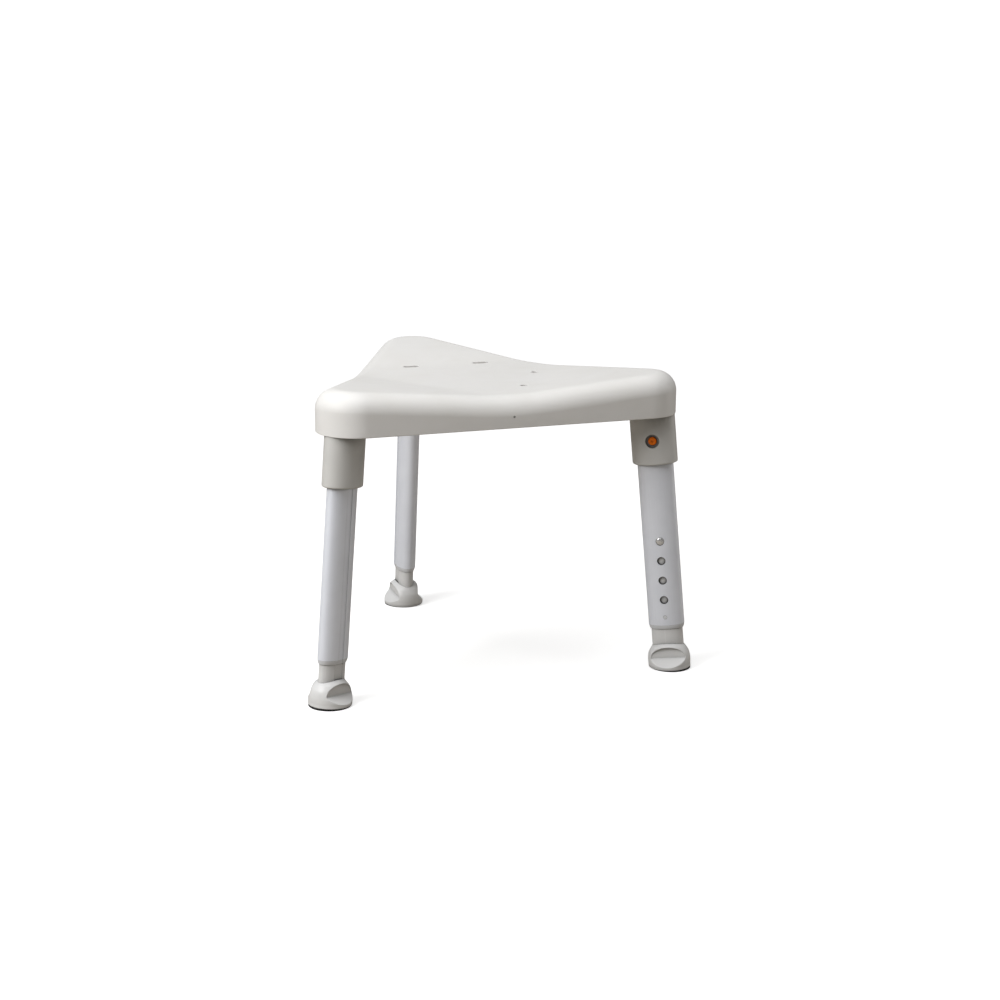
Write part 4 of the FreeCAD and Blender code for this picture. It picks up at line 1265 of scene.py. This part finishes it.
class STOOL_OT_stage(bpy.types.Operator):
    """Set up the pale floor, the soft lights and the camera"""

    bl_idname = "stool.stage"
    bl_label = "Stage"

    def execute(self, context):
        scene = context.scene
        stage = scene.stool_stage
        scene.view_settings.view_transform = "Standard"
        sheet = bmesh.new()
        lathe(sheet, ((FLOOR_RADIUS, FLOOR_BOTTOM), (FLOOR_RADIUS, FLOOR_TOP)), 96)
        ground = as_object("floor", sheet)
        material, tree, shader, where = start_material("pale_floor")
        soft = wire(tree, "ShaderNodeTexNoise", {"Vector": where, "Scale": 3, "Detail": 2}).outputs[0]
        cloudy = ranged(tree, soft, *NOISE, 0, 1)
        shade = mixed(tree, cloudy, darker(stage.floor, 0.985), stage.floor)
        seen = wire(tree, "ShaderNodeLightPath").outputs["Is Camera Ray"]
        tree.links.new(mixed(tree, seen, stage.bounce, shade), shader.inputs["Base Color"])
        shader.inputs["Roughness"].default_value = 0.9
        shader.inputs["Specular IOR Level"].default_value = 0.1
        away = wire(tree, "ShaderNodeVectorMath", {0: where}, operation="LENGTH").outputs["Value"]
        glow = ranged(tree, away, GLOW_START, GLOW_END, stage.floor_glow, 1)
        glow = wire(tree, "ShaderNodeMath", {0: glow, 1: seen}, operation="MULTIPLY").outputs[0]
        tree.links.new(glow, shader.inputs["Emission Color"])
        shader.inputs["Emission Strength"].default_value = 1
        ground.data.materials.append(material)

        world = bpy.data.worlds.new("studio")
        world.use_nodes = True
        tree = world.node_tree
        tree.nodes.clear()
        white = (1, 1, 1, 1)
        room = wire(tree, "ShaderNodeBackground", {"Color": white, "Strength": stage.surroundings})
        seen = wire(tree, "ShaderNodeBackground", {"Color": white, "Strength": 1.0})
        path = wire(tree, "ShaderNodeLightPath").outputs["Is Camera Ray"]
        both = wire(tree, "ShaderNodeMixShader", {0: path, 1: room.outputs[0], 2: seen.outputs[0]})
        out = wire(tree, "ShaderNodeOutputWorld")
        tree.links.new(both.outputs[0], out.inputs[0])
        scene.world = world

        middle = (0, 0, 0.3)
        soft_light("top_light", (-0.3, -0.15, 2.6), middle, (2.2, 2.0), stage.top_light, (1, 1, 1))
        soft_light("left_light", (-2.4, -0.7, 1.9), middle, (1.5, 1.5), stage.left_light, (1, 1, 1))
        soft_light("right_light", (2.1, -0.45, 0.7), middle, (0.9, 1.6), stage.right_light, (1, 0.97, 0.93))

        lens = bpy.data.cameras.new("camera")
        lens.lens = CAMERA_LENS
        lens.sensor_width = SENSOR_WIDTH
        camera = bpy.data.objects.new("camera", lens)
        heading = Matrix.Rotation(CAMERA_HEADING, 4, "Z")
        tip = Matrix.Rotation(math.pi / 2 - CAMERA_DIP, 4, "X")
        roll = Matrix.Rotation(CAMERA_ROLL, 4, "Z")
        camera.matrix_world = Matrix.Translation(CAMERA_PLACE) @ heading @ tip @ roll
        scene.collection.objects.link(camera)
        scene.camera = camera
        return {"FINISHED"}


# ---------------------------------------------------------------- panel and registration


class STOOL_PT_panel(bpy.types.Panel):
    bl_idname = "STOOL_PT_panel"
    bl_label = "Shower stool"
    bl_space_type = "VIEW_3D"
    bl_region_type = "UI"
    bl_category = "Stool"

    def draw(self, context):
        for operator in OPERATORS:
            self.layout.operator(operator.bl_idname)
        for name in SETTINGS:
            group = getattr(context.scene, name)
            box = self.layout.box()
            for title in group.__annotations__:
                box.prop(group, title)


SETTINGS = {
    "stool_seat": SeatSettings,
    "stool_legs": LegSettings,
    "stool_fittings": FittingSettings,
    "stool_stage": StageSettings,
}

OPERATORS = (
    STOOL_OT_seat,
    STOOL_OT_sockets,
    STOOL_OT_tubes,
    STOOL_OT_bushes,
    STOOL_OT_inner_legs,
    STOOL_OT_feet,
    STOOL_OT_soles,
    STOOL_OT_release_buttons,
    STOOL_OT_snap_buttons,
    STOOL_OT_hardware,
    STOOL_OT_stage,
)


def register():
    for kind in (*SETTINGS.values(), *OPERATORS, STOOL_PT_panel):
        bpy.utils.register_class(kind)
    for name, group in SETTINGS.items():
        setattr(bpy.types.Scene, name, bpy.props.PointerProperty(type=group))


def unregister():
    for name in SETTINGS:
        delattr(bpy.types.Scene, name)
    for kind in reversed((*SETTINGS.values(), *OPERATORS, STOOL_PT_panel)):
        bpy.utils.unregister_class(kind)


def main():
    register()
    for operator in OPERATORS:
        group, name = operator.bl_idname.split(".")
        getattr(getattr(bpy.ops, group), name)()


if __name__ == "__main__":
    main()
